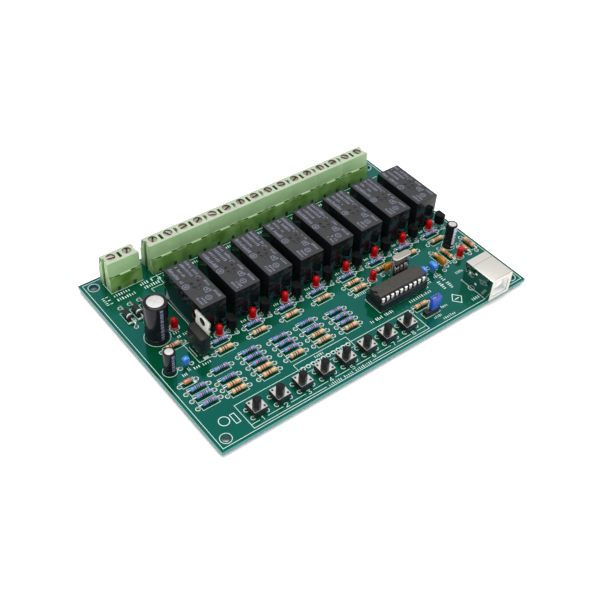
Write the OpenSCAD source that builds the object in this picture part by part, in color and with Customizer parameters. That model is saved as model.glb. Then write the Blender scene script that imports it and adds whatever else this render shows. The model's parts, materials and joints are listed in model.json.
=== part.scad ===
// Eight channel relay module: a circuit board with screw terminals, relays,
// push buttons, a socketed controller, a USB type B socket and their parts.
// Frame: +X along the board to the USB end, +Y to the terminal edge, +Z up.
// Origin: centre of the four fixing holes, on the underside of the board.

/* [Circuit board] */
// Length of the board along X
board_l = 160; // [159:0.5:162]
// Width of the board along Y
board_w = 105; // [104.5:0.5:107]
// Thickness of the board
board_t = 1.6; // [1.2:0.1:2]
// Diameter of each fixing hole
fix_d = 3.3; // [3:0.1:3.6]
// Distance of the fixing holes from the short edges
fix_inset_x = 4.8; // [4.5:0.1:5]
// Distance of the fixing holes from the long edges
fix_inset_y = 4.6; // [4.3:0.1:4.8]
// How far the cut leads stand below the board
lead_below = 1.8; // [1.2:0.1:2.4]

/* [Relays] */
// Distance between neighbouring relays
relay_pitch = 16.51; // [16.2:0.01:16.6]
// Length of a relay case along Y
relay_l = 27.2; // [26:0.1:28]
// Width of a relay case along X
relay_w = 12.1; // [11.6:0.1:12.6]
// Height of a relay case above the board
relay_h = 15.7; // [14:0.1:17]

/* [Screw terminals] */
// Distance between neighbouring poles
pole_pitch = 7.5; // [7.5:0.01:7.62]
// Height of a terminal housing above the board
term_h = 14.6; // [14:0.1:15.5]
// Diameter of a terminal screw's head
screw_head_d = 3.8; // [3.4:0.1:3.8]
// Diameter of a terminal screw's shank
screw_d = 2.9; // [2.6:0.1:2.9]
// Width of a wire entry
entry_w = 3.8; // [3:0.1:3.9]
// Height of a wire entry
entry_h = 3.6; // [3:0.1:3.8]

/* [Push buttons] */
// Distance between neighbouring buttons
button_pitch = 10.85; // [10.2:0.05:10.9]
// Side of a button's square case
button_side = 6; // [5.8:0.1:6.2]
// Diameter of a button's plunger
plunger_d = 3.4; // [3:0.1:3.5]
// Height of the plunger's top above the board
plunger_h = 7; // [5:0.1:9]
// Travel of a button
button_travel = 0.25; // [0.2:0.05:0.4]

/* [Capacitors] */
// Diameter of the supply capacitor
supply_cap_d = 9.8; // [9:0.1:10]
// Height of the supply capacitor above the board
supply_cap_h = 19.8; // [12:0.1:20]
// Diameter of the small electrolytic capacitors
small_cap_d = 5; // [4:0.1:5]
// Height of the shorter small electrolytic capacitor above the board
small_cap_h = 11.5; // [7:0.1:12]

/* [Hidden] */
$fn = 48;
e = 0.01;
T = board_t;
Z0 = -lead_below;

// Places, measured from the board's near left corner
relay_x = 25.7;
relay_y = 51.6;
term_x = 32.82;
supply_x = 12.9;
term_y = 98.3;
button_x = 21.5;
button_y = 8.7;
metal_at = [[4.1, 21.7], [4.2, 25.9], [4.3, 30], [17.1, 33.1], [16.6, 27.4],
  [31, 34.2], [31, 30.8], [31, 27.2], [45.4, 33.1], [45.5, 29.4], [45.4, 25.8],
  [59.1, 33.5], [59.1, 29.3], [73, 31.6], [73.2, 27.9], [73.2, 24.5]];
carbon_at = [[90.7, 36.4], [8.3, 53.4], [16.5, 23.7], [16.5, 20.3], [30.9, 23.7],
  [31, 20.2], [45.4, 22], [59.1, 25.6], [59.1, 21.7], [73, 21.2], [105, 13.7]];
carbon_up_at = [137.3, 142.3, 155.9];
metal_led_at = [for (i = [0:7]) [relay_x - 0.2 + i * relay_pitch, 45.4]];
res_pitch = 10.3;
led_res_pitch = 9.3;
led_at = concat([for (i = [0:7]) [relay_x + 6.6 + i * relay_pitch, 48.7]],
  [[19.7, 62], [104.2, 37.6], [146.4, 27]]);
tr_at = [for (i = [0:7]) [relay_x + 13.1 + i * relay_pitch, 48.1]];
reg_at = [20.8, 46.3];
bigcap_at = [11.5, 61.6];
// Small cans: x, y, extra height
smallcap_at = [[5.7, 43.3, 0], [147.3, 35.2, 1.4]];
// Dipped capacitors: x, y, turn, width, height, thickness, height of the middle
blue_at = [[12.2, 42.15, 0, 3.3, 3.6, 2.2, 3.3], [129.4, 26.8, 90, 4.7, 4.4, 2.5, 3.1],
  [124.1, 27, 90, 4, 4, 2, 2.9]];
orange_at = [[112.5, 37.4, 0, 4.4, 4, 2.1, 3.8], [134.6, 26.85, 90, 4.7, 4.5, 2.2, 3.4]];
diode_at = [7.6, 12, 16.4];
diode_y = 71.1;
// Small glass diodes: x, y of the first pad, turn
glass_at = [[4.3, 34.5, 0], [151.7, 25.8, 90]];
crystal_at = [114.7, 32.75];
chip_at = [106.8, 25.2];
header_at = [111.3, 8.65];
usb_at = [142.2, -0.7];
spare_at = [48.3, 14.75];

// Every lead hole: x, y, diameter
relay_pins = [[2.3, 2.4], [9.8, 2.4], [6.05, 17.2], [2.3, 24.6], [9.8, 24.6]];
function row(l, n) = [for (p = l) each [[p[0], p[1], 0.9], [p[0] + n, p[1], 0.9]]];
carbon_all = concat(carbon_at, [for (i = [0:7]) [relay_x - 1.3 + i * relay_pitch, 40.5]]);
holes = concat(row(metal_at, res_pitch), row(metal_led_at, led_res_pitch), row(carbon_all, res_pitch),
  [for (x = carbon_up_at) each [[x, 25.7, 0.9], [x, 25.7 + res_pitch, 0.9]]],
  [for (p = led_at) each [[p[0] - 1.27, p[1], 0.8], [p[0] + 1.27, p[1], 0.8]]],
  [for (p = tr_at) each [[p[0], p[1] - 2.54, 0.9], [p[0] - 2.54, p[1], 0.9], [p[0], p[1] + 2.54, 0.9]]],
  [for (i = [0:7]) for (q = relay_pins) [relay_x + q[0] + i * relay_pitch, relay_y + q[1], 1.3]],
  [for (i = [0:15]) [term_x + i * pole_pitch, term_y - 2.65, 1.3]],
  [for (i = [0:1]) [supply_x + i * pole_pitch, term_y - 2.65, 1.3]],
  [for (i = [0:7]) for (a = [-1, 1]) for (b = [-1, 1])
    [button_x + i * button_pitch + a * 3.2, button_y + b * 2.25, 1.1]],
  [for (i = [-1:1]) [reg_at[0], reg_at[1] + i * 2.54, 1.2]],
  [for (s = [-1, 1]) [bigcap_at[0], bigcap_at[1] + s * 2.5, 0.9]],
  [for (p = smallcap_at) for (s = [-1, 1]) [p[0], p[1] + s, 0.8]],
  [for (p = concat(blue_at, orange_at)) for (s = [-1, 1])
    [p[0] + s * 2.54 * cos(p[2]), p[1] + s * 2.54 * sin(p[2]), 0.8]],
  [for (x = diode_at) each [[x, diode_y, 1.1], [x, diode_y + 12.7, 1.1]]],
  [for (p = glass_at) each [[p[0], p[1], 0.9], [p[0] + 7.62 * cos(p[2]), p[1] + 7.62 * sin(p[2]), 0.9]]],
  [for (s = [-1, 1]) [crystal_at[0] + s * 2.44, crystal_at[1], 0.8]],
  [for (i = [0:9]) for (s = [-1, 1]) [chip_at[0] + (i - 4.5) * 2.54, chip_at[1] + s * 3.81, 0.8]],
  [for (i = [-1:1]) [header_at[0] + i * 2.54, header_at[1], 1.1]],
  [for (i = [-1, 1]) each [[usb_at[0] + i * 1.25, 11.5, 1.1], [usb_at[0] + i * 1.25, 13.5, 1.1],
    [usb_at[0] + i * 5.8, 9.5, 2.3]]],
  [for (i = [0:9]) [spare_at[0] + i * 2.54, spare_at[1], 0.9]]);

// Moves a shape from the near left corner's frame to the part's own frame
module at(x = 0, y = 0, z = 0) { translate([x - board_l / 2, y - board_w / 2, z]) children(); }
module box(x0, x1, y0, y1, z0, z1) { translate([x0, y0, z0]) cube([x1 - x0, y1 - y0, z1 - z0]); }
module rod(d, z0, z1) { translate([0, 0, z0]) cylinder(d = d, h = z1 - z0); }
module alongx(x0, x1, d) { translate([x0, 0, 0]) rotate([0, 90, 0]) cylinder(d = d, h = x1 - x0); }
// A strip in the XZ plane of the given outline, of the given thickness in Y
module strip(pts, t) { translate([0, t / 2, 0]) rotate([90, 0, 0]) linear_extrude(t) polygon(pts); }
// A solid of revolution about X with a profile of [x, radius] points
module turned_x(pts) { rotate([0, 90, 0]) rotate_extrude() polygon(concat([[0, pts[0][0]]],
  [for (p = pts) [p[1], p[0]]], [[0, pts[len(pts) - 1][0]]])); }
// A straight wire between two points
module wire(a, b, d) {
  v = b - a; l = norm(v);
  translate(a) rotate([0, acos(v[2] / l), atan2(v[1], v[0])]) cylinder(d = d, h = l, $fn = 24);
}
// An end of a round lead: along X to the bend, then down through the board
module bent_end(x0, x1, z, d) {
  r = 0.9;
  s = sign(x1 - x0);
  translate([min(x0, x1 - s * r), 0, z]) rotate([0, 90, 0]) cylinder(d = d, h = abs(x1 - s * r - x0), $fn = 24);
  translate([x1 - s * r, 0, z - r]) rotate([90, 0, s > 0 ? 0 : 180]) rotate_extrude(angle = 90, $fn = 24)
    translate([r, 0]) circle(d = d);
  translate([x1, 0, Z0]) cylinder(d = d, h = z - r - Z0, $fn = 24);
}

module circuit_board() {
  color("#00695a") at() linear_extrude(board_t) difference() {
    square([board_l, board_w]);
    for (x = [fix_inset_x, board_l - fix_inset_x]) for (y = [fix_inset_y, board_w - fix_inset_y])
      translate([x, y]) circle(d = fix_d);
    for (h = holes) translate([h[0], h[1]]) circle(d = h[2], $fn = 24);
  }
}

// Terminal housings; the local frame has its origin on the first screw's axis at board level
cage_z = 1.4;
cage_h = 6.3;
module housing_profile() {
  polygon([[-5.2, 0], [4.2, 0], [4.5, 8.6], [3.9, 9], [2.9, term_h], [-3.4, term_h], [-4.1, 8.1], [-4.9, 7.6]]);
}
module housing() {
  w = 2 * pole_pitch - 0.02;
  l = -pole_pitch / 2 + 0.01;
  difference() {
    union() {
      translate([l, 0, 0]) rotate([90, 0, 90]) linear_extrude(w) housing_profile();
      box(l + w - e, l + w + 0.6, -0.8, 0.8, 2, 9);
    }
    for (i = [0, 1]) translate([i * pole_pitch, 0, 0]) {
      rod(screw_head_d + 0.16, 12.5, term_h + 1);
      rod(screw_d + 0.14, 8, 13);
      box(-2.6, 2.6, -3.1, 2.6, -1, 8.8);
      box(-entry_w / 2, entry_w / 2, 2, 5, 2.2, 2.2 + entry_h);
      box(-entry_w / 2 - 0.4, entry_w / 2 + 0.4, 3.9, 5, 1.8, 2.6 + entry_h);
      box(-1.2, 1.2, -4.75, -4.3, 6.6, 8.5);
      box(-0.6, 0.6, -6, -4.6, -1, 2.1);
    }
    box(pole_pitch / 2 - 0.6, pole_pitch / 2 + 0.6, -2.1, 1.3, 10, term_h + 1);
    box(l - 1, l + 0.8, -1.0, 1.0, -1, term_h + 1);
    box(l + w - 0.5, l + w + 1, -2.1, 1.3, 10, term_h + 1);
  }
}
module output_terminal_blocks() {
  color("#9dbd8c") for (i = [0:7]) at(term_x + 2 * i * pole_pitch, term_y, T) housing();
}
module supply_terminal_block() { color("#9dbd8c") at(supply_x, term_y, T) housing(); }

// Wire cages ride on the screws; each has a window for the wire and a nut hole
module cage() {
  difference() {
    box(-2.45, 2.45, -2.2, 2.3, cage_z, cage_z + cage_h);
    box(-1.95, 1.95, -3, 3, cage_z + 0.8, cage_z + cage_h - 1.4);
    rod(screw_d + 0.1, 5, 9);
  }
}
module each_pole() {
  for (i = [0:15]) at(term_x + i * pole_pitch, term_y, T) children();
  for (i = [0:1]) at(supply_x + i * pole_pitch, term_y, T) children();
}
module wire_cages() { color("#c9c9c4") each_pole() cage(); }
// Contact bar through the cage, and the leg that is soldered in the board
module terminal_pins() {
  zt = cage_z + cage_h - 1.5;
  color("#d8d8d6") each_pole() {
    union() {
      box(-1.5, 1.5, -2.9, 2.2, zt - 0.6, zt);
      box(-0.5, 0.5, -2.9, -2.4, Z0 - T, zt - 0.3);
    }
  }
}
// Terminal screw: slotted head, shank down to the contact bar
module screw(x, turn) {
  color("#b9b7ae") at(x, term_y, T) difference() {
    union() {
      rod(screw_head_d, 12.55, 14.1);
      rod(screw_d, cage_z + cage_h - 1.4, 12.6);
    }
    rotate([0, 0, turn]) box(-3, 3, -0.35, 0.35, 13.2, 15);
  }
}
screw_turns = [60, 112, 10, 35, 152, 20, 75, 8, 105, 165, 25, 48, 90, 15, 125, 100];
module output_screw(i) { screw(term_x + (i - 1) * pole_pitch, screw_turns[i - 1]); }
module supply_screw(i) { screw(supply_x + (i - 1) * pole_pitch, i == 1 ? 170 : 62); }

// Relays: sealed case on a shallow foot, with its solder pins
module relay(i) {
  color("#1f2224") at(relay_x + (i - 1) * relay_pitch, relay_y, T) {
    difference() {
      box(0, relay_w, 0, relay_l, 0, relay_h);
      translate([relay_w / 2 - 1.6, relay_l * 0.42, relay_h - 0.3]) cylinder(d = 1.2, h = 1);
      box(relay_w / 2 + 0.6, relay_w / 2 + 1.8, relay_l * 0.40, relay_l * 0.44, relay_h - 0.25, relay_h + 1);
    }
    for (q = relay_pins) box(q[0] - 0.5, q[0] + 0.5, q[1] - 0.3, q[1] + 0.3, Z0 - T, e);
  }
}

// Push buttons: moulded base with its four legs, pressed cover plate, sprung cap
base_h = 3.3;
cover_t = 0.2;
module each_button() { for (i = [0:7]) at(button_x + i * button_pitch, button_y, T) children(); }
module button_bases() {
  h = button_side / 2;
  color("#17181a") each_button() {
    difference() {
      union() {
        box(-h, h, -h, h, 0.2, base_h);
        for (a = [-1, 1]) for (b = [-1, 1]) translate([a * 2.1, b * 2.1, base_h - e])
          cylinder(d = 0.9, h = cover_t + 0.1 + e, $fn = 24);
      }
      translate([0, 0, 1.2]) cylinder(d = 4.6, h = base_h);
    }
    for (a = [-1, 1]) for (b = [-1, 1])
      box(a > 0 ? h - e : -h - 0.35, a > 0 ? h + 0.35 : -h + e, b * 2.25 - 0.35, b * 2.25 + 0.35, Z0 - T, 1);
  }
}
module button_covers() {
  h = button_side / 2;
  color("#d9d9d6") each_button() difference() {
    box(-h, h, -h, h, base_h, base_h + cover_t);
    cylinder(d = plunger_d + 0.2, h = 8);
    for (a = [-1, 1]) for (b = [-1, 1]) translate([a * 2.1, b * 2.1, 0]) cylinder(d = 1.0, h = 8, $fn = 24);
  }
}
module button_cap(i) {
  color("#26272a") at(button_x + (i - 1) * button_pitch, button_y, T) union() {
    rod(4.2, base_h - 0.55, base_h - 0.05);
    rod(plunger_d, base_h - 0.3, plunger_h - 0.5);
    translate([0, 0, plunger_h - 0.5 - e]) cylinder(d1 = plunger_d, d2 = plunger_d - 1, h = 0.5 + e);
  }
}

// Three pin header with its jumper on two of the pins
module header_base() {
  color("#1b1b1d") at(header_at[0], header_at[1], T) difference() {
    box(-3.81, 3.81, -1.25, 1.25, 0, 2.5);
    for (i = [-1:1]) box(i * 2.54 - 0.32, i * 2.54 + 0.32, -0.32, 0.32, -1, 3);
  }
}
module header_pins() {
  color("#d4b25a") at(header_at[0], header_at[1], T) for (i = [-1:1])
    box(i * 2.54 - 0.32, i * 2.54 + 0.32, -0.32, 0.32, Z0 - T, 8.5);
}
module jumper_cap() {
  color("#3e55c8") at(header_at[0] + 1.27, header_at[1], T) difference() {
    box(-2.5, 2.5, -1.25, 1.25, 2.55, 8.6);
    box(-2, 2, -0.8, 0.8, 2, 8.1);
    box(-1.7, 1.7, -0.5, 0.5, 8, 10);
  }
}
module jumper_clip() {
  color("#cfcabc") at(header_at[0] + 1.27, header_at[1], T) union() {
    box(-1.9, 1.9, -0.7, -0.45, 2.9, 7.9);
    box(-1.9, 1.9, 0.45, 0.7, 2.9, 7.9);
    box(-0.7, 0.7, -0.6, 0.6, 7.5, 7.8);
  }
}

// Controller in a dual in line package, standing in its socket
module controller_chip() {
  color("#3c3d3e") at(chip_at[0], chip_at[1], T) {
    difference() {
      box(-13, 13, -3.25, 3.25, 4.7, 7.9);
      translate([-13, 0, 7]) cylinder(d = 2.2, h = 2);
    }
    for (i = [0:9]) for (s = [-1, 1]) translate([(i - 4.5) * 2.54, 0, 0]) {
      box(-0.7, 0.7, s > 0 ? 3.2 : -3.95, s > 0 ? 3.95 : -3.2, 6.2, 6.45);
      box(-0.7, 0.7, s > 0 ? 3.7 : -3.95, s > 0 ? 3.95 : -3.7, 4.6, 6.3);
      box(-0.25, 0.25, s > 0 ? 3.7 : -3.95, s > 0 ? 3.95 : -3.7, 1.9, 4.7);
    }
  }
}
module chip_socket() {
  color("#151617") at(chip_at[0], chip_at[1], T) difference() {
    union() {
      box(-12.9, 12.9, -5.05, 5.05, 0.4, 4.5);
      for (i = [0:9]) for (s = [-1, 1]) translate([(i - 4.5) * 2.54, s * 3.81, 0])
        translate([0, 0, Z0 - T]) cylinder(d = 0.5, h = lead_below + T + 0.5, $fn = 24);
    }
    box(-10.5, 10.5, -2.4, 2.4, -1, 5);
    for (i = [0:9]) for (s = [-1, 1]) translate([(i - 4.5) * 2.54, s * 3.825, 0])
      box(-0.5, 0.5, -0.35, 0.35, 1.6, 5);
  }
}

// USB type B socket: folded steel shell and moulded insert with its tongue and pins
module usb_shell() {
  color("#d2cfc8") at(usb_at[0], usb_at[1], T) union() {
    difference() {
      box(-6, 6, 0, 16, 0, 11);
      box(-5.6, 5.6, 0.4, 15.6, 0.4, 10.6);
      box(-4, 4, 9.5, 15.6, -1, 1);
      usb_mouth(-1, 1);
    }
    for (s = [-1, 1]) box(s > 0 ? 5.6 : -6, s > 0 ? 6 : -5.6, 9.3, 11.1, Z0 - T, 0.5);
  }
}
module usb_mouth(y0, y1) {
  c = 1.7;
  translate([0, y1, 5.5]) rotate([90, 0, 0]) linear_extrude(y1 - y0)
    polygon([[-4.22, -3.89], [4.22, -3.89], [4.22, 3.89 - c], [4.22 - c, 3.89], [-4.22 + c, 3.89], [-4.22, 3.89 - c]]);
}
module usb_insert() {
  color("#efefec") at(usb_at[0], usb_at[1], T) {
    difference() {
      box(-5.55, 5.55, 0.45, 15.5, 0.45, 10.55);
      usb_mouth(-2, 10);
    }
    box(-2.8, 2.8, 1.9, 10.5, 3.9, 7.1);
    for (i = [-1, 1]) {
      box(i * 1.25 - 0.5, i * 1.25 + 0.5, 2.4, 10.2, 3.75, 7.25);
      for (y = [12.2, 14.2]) translate([i * 1.25, y, Z0 - T]) cylinder(d = 0.8, h = lead_below + T + 1, $fn = 24);
    }
  }
}

// Resistors: a waisted body on a bent wire; the lead pads are at 0 and n
res_z = 1.2;
module resistor(dc, db, n = res_pitch) {
  m = n / 2;
  translate([m, 0, res_z]) turned_x([[-3.1, 0.3], [-3.1, dc / 2 - 0.35], [-2.85, dc / 2], [-1.9, dc / 2],
    [-1.5, db / 2], [1.5, db / 2], [1.9, dc / 2], [2.85, dc / 2], [3.1, dc / 2 - 0.35], [3.1, 0.3]]);
  translate([0, 0, -T]) {
    bent_end(m - 3, 0, res_z + T, 0.6);
    bent_end(m + 3, n, res_z + T, 0.6);
  }
}
module metal_film_resistors() {
  color("#6f97d8") {
    for (p = metal_at) at(p[0], p[1], T) resistor(2, 1.7);
    for (p = metal_led_at) at(p[0], p[1], T) resistor(2, 1.7, led_res_pitch);
  }
}
module carbon_film_resistors() {
  color("#d9b98c") {
    for (p = carbon_all) at(p[0], p[1], T) resistor(2.2, 1.85);
    for (x = carbon_up_at) at(x, 25.7, T) rotate([0, 0, 90]) resistor(2.2, 1.85);
  }
}

// Light emitting diodes, 3 mm
led_gap = 0.3;
module indicator_leds() {
  color("#c40b12") for (p = led_at) at(p[0], p[1], T) {
    translate([0, 0, led_gap]) rotate_extrude() difference() {
      union() { square([1.65, 0.7]); square([1.5, 3.8]); translate([0, 3.7]) circle(r = 1.5); }
      translate([-3, -3]) square([3, 12]);
      translate([-3, -3]) square([6, 3]);
    }
    for (s = [-1, 1]) translate([s * 1.27, 0, Z0 - T]) cylinder(d = 0.5, h = lead_below + T + led_gap + 0.2, $fn = 24);
  }
}

// Small transistors with the flat side facing +X and three spread legs
module transistors() {
  color("#1d1e20") for (p = tr_at) at(p[0], p[1], T) {
    difference() {
      translate([-0.6, 0, 0]) rod(4.8, 2.3, 7);
      box(0.9, 4, -4, 4, 2, 8);
    }
    for (s = [-1, 1]) {
      rotate([0, 0, 90]) strip([[s * 1.02, 2.7], [s * 1.52, 2.7], [s * 2.79, 1.2], [s * 2.79, Z0 - T], [s * 2.29, Z0 - T], [s * 2.29, 1.1], [s * 1.02, 2.6]], 0.4);
    }
    strip([[-0.25, 2.7], [-0.25, 2.3], [-2.29, 0.9], [-2.29, Z0 - T], [-2.79, Z0 - T], [-2.79, 1.2], [-0.75, 2.7]], 0.4);
  }
}

// Upright voltage regulator; its metal tab faces +X and is notched on both edges
function tab_half(s) = [[s * 4.7, 1.9], [s * 4.7, 12.9], [s * 4.3, 13.2], [s * 4.3, 15.1], [s * 5, 15.5], [s * 5, 17], [s * 4.5, 17.5]];
function tab_profile() = concat(tab_half(1), [for (i = [6:-1:0]) tab_half(-1)[i]]);
module voltage_regulator() {
  color("#2b2c2e") at(reg_at[0], reg_at[1], T) {
    box(-1.8, 2, -5, 5, 1.9, 10.8);
    difference() {
      translate([2 - e, 0, 0]) rotate([90, 0, 90]) linear_extrude(0.6 + e) polygon(tab_profile());
      translate([0, 0, 14.7]) rotate([0, 90, 0]) cylinder(d = 3.7, h = 4);
    }
    for (i = [-1:1]) {
      box(-0.25, 0.25, i * 2.54 - 0.65, i * 2.54 + 0.65, 0.3, 2);
      box(-0.25, 0.25, i * 2.54 - 0.4, i * 2.54 + 0.4, Z0 - T, 0.4);
    }
  }
}

// Electrolytic capacitors: can with a rolled groove near its foot
module radial_can(d, h, pitch) {
  r = d / 2;
  translate([0, 0, 0.2]) rotate_extrude() polygon([[0, 0], [r - 0.5, 0], [r, 0.5], [r, 1.6], [r - 0.35, 2],
    [r, 2.4], [r, h - 0.7], [r - 0.5, h - 0.2], [r - 0.5, h - 0.4], [0, h - 0.4]]);
  for (s = [-1, 1]) translate([0, s * pitch / 2, Z0 - T]) cylinder(d = 0.55, h = lead_below + T + 0.3, $fn = 24);
}
module electrolytic_capacitors() {
  color("#16171a") {
    at(bigcap_at[0], bigcap_at[1], T) radial_can(supply_cap_d, supply_cap_h, 5);
    for (p = smallcap_at) at(p[0], p[1], T) radial_can(small_cap_d, small_cap_h + p[2], 2);
  }
}

// Dipped capacitors: a rounded slab on two wires that splay to the pads
module rounded(w, h, r) {
  square([w - 2 * r, h], center = true);
  square([w, h - 2 * r], center = true);
  for (a = [-1, 1]) for (b = [-1, 1]) translate([a * (w / 2 - r), b * (h / 2 - r)]) circle(r = r);
}
module dipped(w, h, t, zc) {
  translate([0, 0, zc]) rotate([90, 0, 0]) {
    translate([0, 0, -t / 2]) linear_extrude(t) rounded(w - 0.6, h - 0.6, h * 0.36);
    translate([0, 0, -t * 0.32]) linear_extrude(t * 0.64) rounded(w, h, h * 0.43);
  }
  for (s = [-1, 1]) {
    wire([s * 1, 0, zc - h / 2 + 0.6], [s * 2.54, 0, 0.25], 0.48);
    translate([s * 2.54, 0, Z0 - T]) cylinder(d = 0.5, h = lead_below + T + 0.45, $fn = 24);
  }
}
module blue_capacitors() {
  color("#2f7ad0") for (p = blue_at) at(p[0], p[1], T) rotate([0, 0, p[2]]) dipped(p[3], p[4], p[5], p[6]);
}
module orange_capacitors() {
  color("#d08a20") for (p = orange_at) at(p[0], p[1], T) rotate([0, 0, p[2]]) dipped(p[3], p[4], p[5], p[6]);
}

// Diodes
module rectifier_diodes() {
  color("#202022") for (x = diode_at) at(x, diode_y, T) rotate([0, 0, 90]) {
    translate([6.35, 0, 1.75]) alongx(-2.6, 2.6, 2.7);
    translate([0, 0, -T]) { bent_end(3.85, 0, 1.75 + T, 0.8); bent_end(8.85, 12.7, 1.75 + T, 0.8); }
  }
}
module glass_diodes() {
  color("#c46a2a") for (p = glass_at) at(p[0], p[1], T) rotate([0, 0, p[2]]) {
    translate([3.81, 0, 1.2]) alongx(-2, 2, 1.9);
    translate([0, 0, -T]) { bent_end(1.9, 0, 1.2 + T, 0.5); bent_end(5.7, 7.62, 1.2 + T, 0.5); }
  }
}

// Crystal in a flat oval can on a flange
module oval(l, w) { square([l - w, w], center = true); for (s = [-1, 1]) translate([s * (l - w) / 2, 0]) circle(d = w); }
module quartz_crystal() {
  color("#c8c4ba") at(crystal_at[0], crystal_at[1], T) {
    translate([0, 0, 0.4]) linear_extrude(0.6) oval(10.7, 3.9);
    translate([0, 0, 0.9]) linear_extrude(12) oval(9.8, 3.6);
    for (s = [-1, 1]) translate([s * 2.44, 0, Z0 - T]) cylinder(d = 0.45, h = lead_below + T + 0.5, $fn = 24);
  }
}

circuit_board();
output_terminal_blocks();
supply_terminal_block();
wire_cages();
terminal_pins();
button_bases();
button_covers();
header_base();
header_pins();
jumper_cap();
jumper_clip();
controller_chip();
chip_socket();
usb_shell();
usb_insert();
metal_film_resistors();
carbon_film_resistors();
indicator_leds();
transistors();
voltage_regulator();
electrolytic_capacitors();
blue_capacitors();
orange_capacitors();
rectifier_diodes();
glass_diodes();
quartz_crystal();
relay(1);  // relay_1
relay(2);  // relay_2
relay(3);  // relay_3
relay(4);  // relay_4
relay(5);  // relay_5
relay(6);  // relay_6
relay(7);  // relay_7
relay(8);  // relay_8
button_cap(1);  // button_cap_1
button_cap(2);  // button_cap_2
button_cap(3);  // button_cap_3
button_cap(4);  // button_cap_4
button_cap(5);  // button_cap_5
button_cap(6);  // button_cap_6
button_cap(7);  // button_cap_7
button_cap(8);  // button_cap_8
output_screw(1);  // output_screw_1
output_screw(2);  // output_screw_2
output_screw(3);  // output_screw_3
output_screw(4);  // output_screw_4
output_screw(5);  // output_screw_5
output_screw(6);  // output_screw_6
output_screw(7);  // output_screw_7
output_screw(8);  // output_screw_8
output_screw(9);  // output_screw_9
output_screw(10);  // output_screw_10
output_screw(11);  // output_screw_11
output_screw(12);  // output_screw_12
output_screw(13);  // output_screw_13
output_screw(14);  // output_screw_14
output_screw(15);  // output_screw_15
output_screw(16);  // output_screw_16
supply_screw(1);  // supply_screw_1
supply_screw(2);  // supply_screw_2
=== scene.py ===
import json
import math
import random

import bmesh
import bpy
import numpy as np
from mathutils import Matrix, Vector

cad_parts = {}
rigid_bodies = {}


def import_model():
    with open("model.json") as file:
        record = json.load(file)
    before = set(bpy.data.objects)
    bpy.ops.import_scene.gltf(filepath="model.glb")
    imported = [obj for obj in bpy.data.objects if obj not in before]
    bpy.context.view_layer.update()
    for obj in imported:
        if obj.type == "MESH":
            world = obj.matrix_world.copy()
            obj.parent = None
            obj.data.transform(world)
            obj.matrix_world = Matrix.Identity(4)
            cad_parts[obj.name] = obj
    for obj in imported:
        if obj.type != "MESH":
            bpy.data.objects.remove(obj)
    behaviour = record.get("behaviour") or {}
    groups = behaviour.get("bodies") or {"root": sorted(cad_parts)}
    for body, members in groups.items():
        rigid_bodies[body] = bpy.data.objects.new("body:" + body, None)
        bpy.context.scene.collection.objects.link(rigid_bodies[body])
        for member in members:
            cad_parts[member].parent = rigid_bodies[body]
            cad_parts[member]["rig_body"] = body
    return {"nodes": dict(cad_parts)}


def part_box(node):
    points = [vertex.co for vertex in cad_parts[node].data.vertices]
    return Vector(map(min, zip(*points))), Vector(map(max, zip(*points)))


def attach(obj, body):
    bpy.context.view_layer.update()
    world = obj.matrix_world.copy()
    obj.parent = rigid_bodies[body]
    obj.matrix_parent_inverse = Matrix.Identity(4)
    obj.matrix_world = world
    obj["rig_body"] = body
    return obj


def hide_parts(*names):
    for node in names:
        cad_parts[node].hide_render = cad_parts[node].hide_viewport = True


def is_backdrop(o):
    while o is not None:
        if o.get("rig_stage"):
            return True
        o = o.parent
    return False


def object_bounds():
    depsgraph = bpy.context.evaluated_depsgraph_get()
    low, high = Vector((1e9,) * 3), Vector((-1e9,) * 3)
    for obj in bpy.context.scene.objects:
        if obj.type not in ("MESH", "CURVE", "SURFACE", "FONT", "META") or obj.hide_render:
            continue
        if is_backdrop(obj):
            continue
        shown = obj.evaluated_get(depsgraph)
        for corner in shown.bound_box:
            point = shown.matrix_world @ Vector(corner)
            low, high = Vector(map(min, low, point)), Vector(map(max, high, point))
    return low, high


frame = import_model()
NODES = frame["nodes"]
CAD_LO, CAD_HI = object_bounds()
rng = random.Random(11)

# ---------------------------------------------------------------- places
# Everything is built in millimetres of the row frame and scaled at the end.
B_LO, B_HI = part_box("circuit_board")
TOP = B_HI.z * 1000
BOT = B_LO.z * 1000
TIP = CAD_LO.z * 1000


def bp(x, y, z=0.0):
    """A point measured from the board's near left corner."""
    return Vector((B_LO.x * 1000 + x, B_LO.y * 1000 + y, z))


def welded(node):
    """Vertices (mm) and triangles of a CAD node, with vertices in one place joined."""
    me = NODES[node].data
    co = np.empty(len(me.vertices) * 3, np.float32)
    me.vertices.foreach_get("co", co)
    co = co.reshape(-1, 3).astype(float) * 1000
    key = np.round(co * 2000).astype(np.int64)
    _, first, inv = np.unique(key, axis=0, return_index=True, return_inverse=True)
    inv = inv.reshape(-1)
    faces = [[int(inv[i]) for i in p.vertices] for p in me.polygons]
    return co[first], [f for f in faces if len(set(f)) > 2]


def islands(count, faces):
    up = list(range(count))

    def root(i):
        while up[i] != i:
            up[i] = up[up[i]]
            i = up[i]
        return i

    for f in faces:
        a = root(f[0])
        for i in f[1:]:
            b = root(i)
            if a != b:
                up[b] = a
    groups = {}
    for f in faces:
        for i in f:
            groups.setdefault(root(i), set()).add(i)
    return list(groups.values())


class Box:
    def __init__(self, pts):
        lo, hi = pts.min(0), pts.max(0)
        self.lo, self.hi = Vector(lo), Vector(hi)
        self.c = (self.lo + self.hi) / 2
        self.d = self.hi - self.lo


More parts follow.
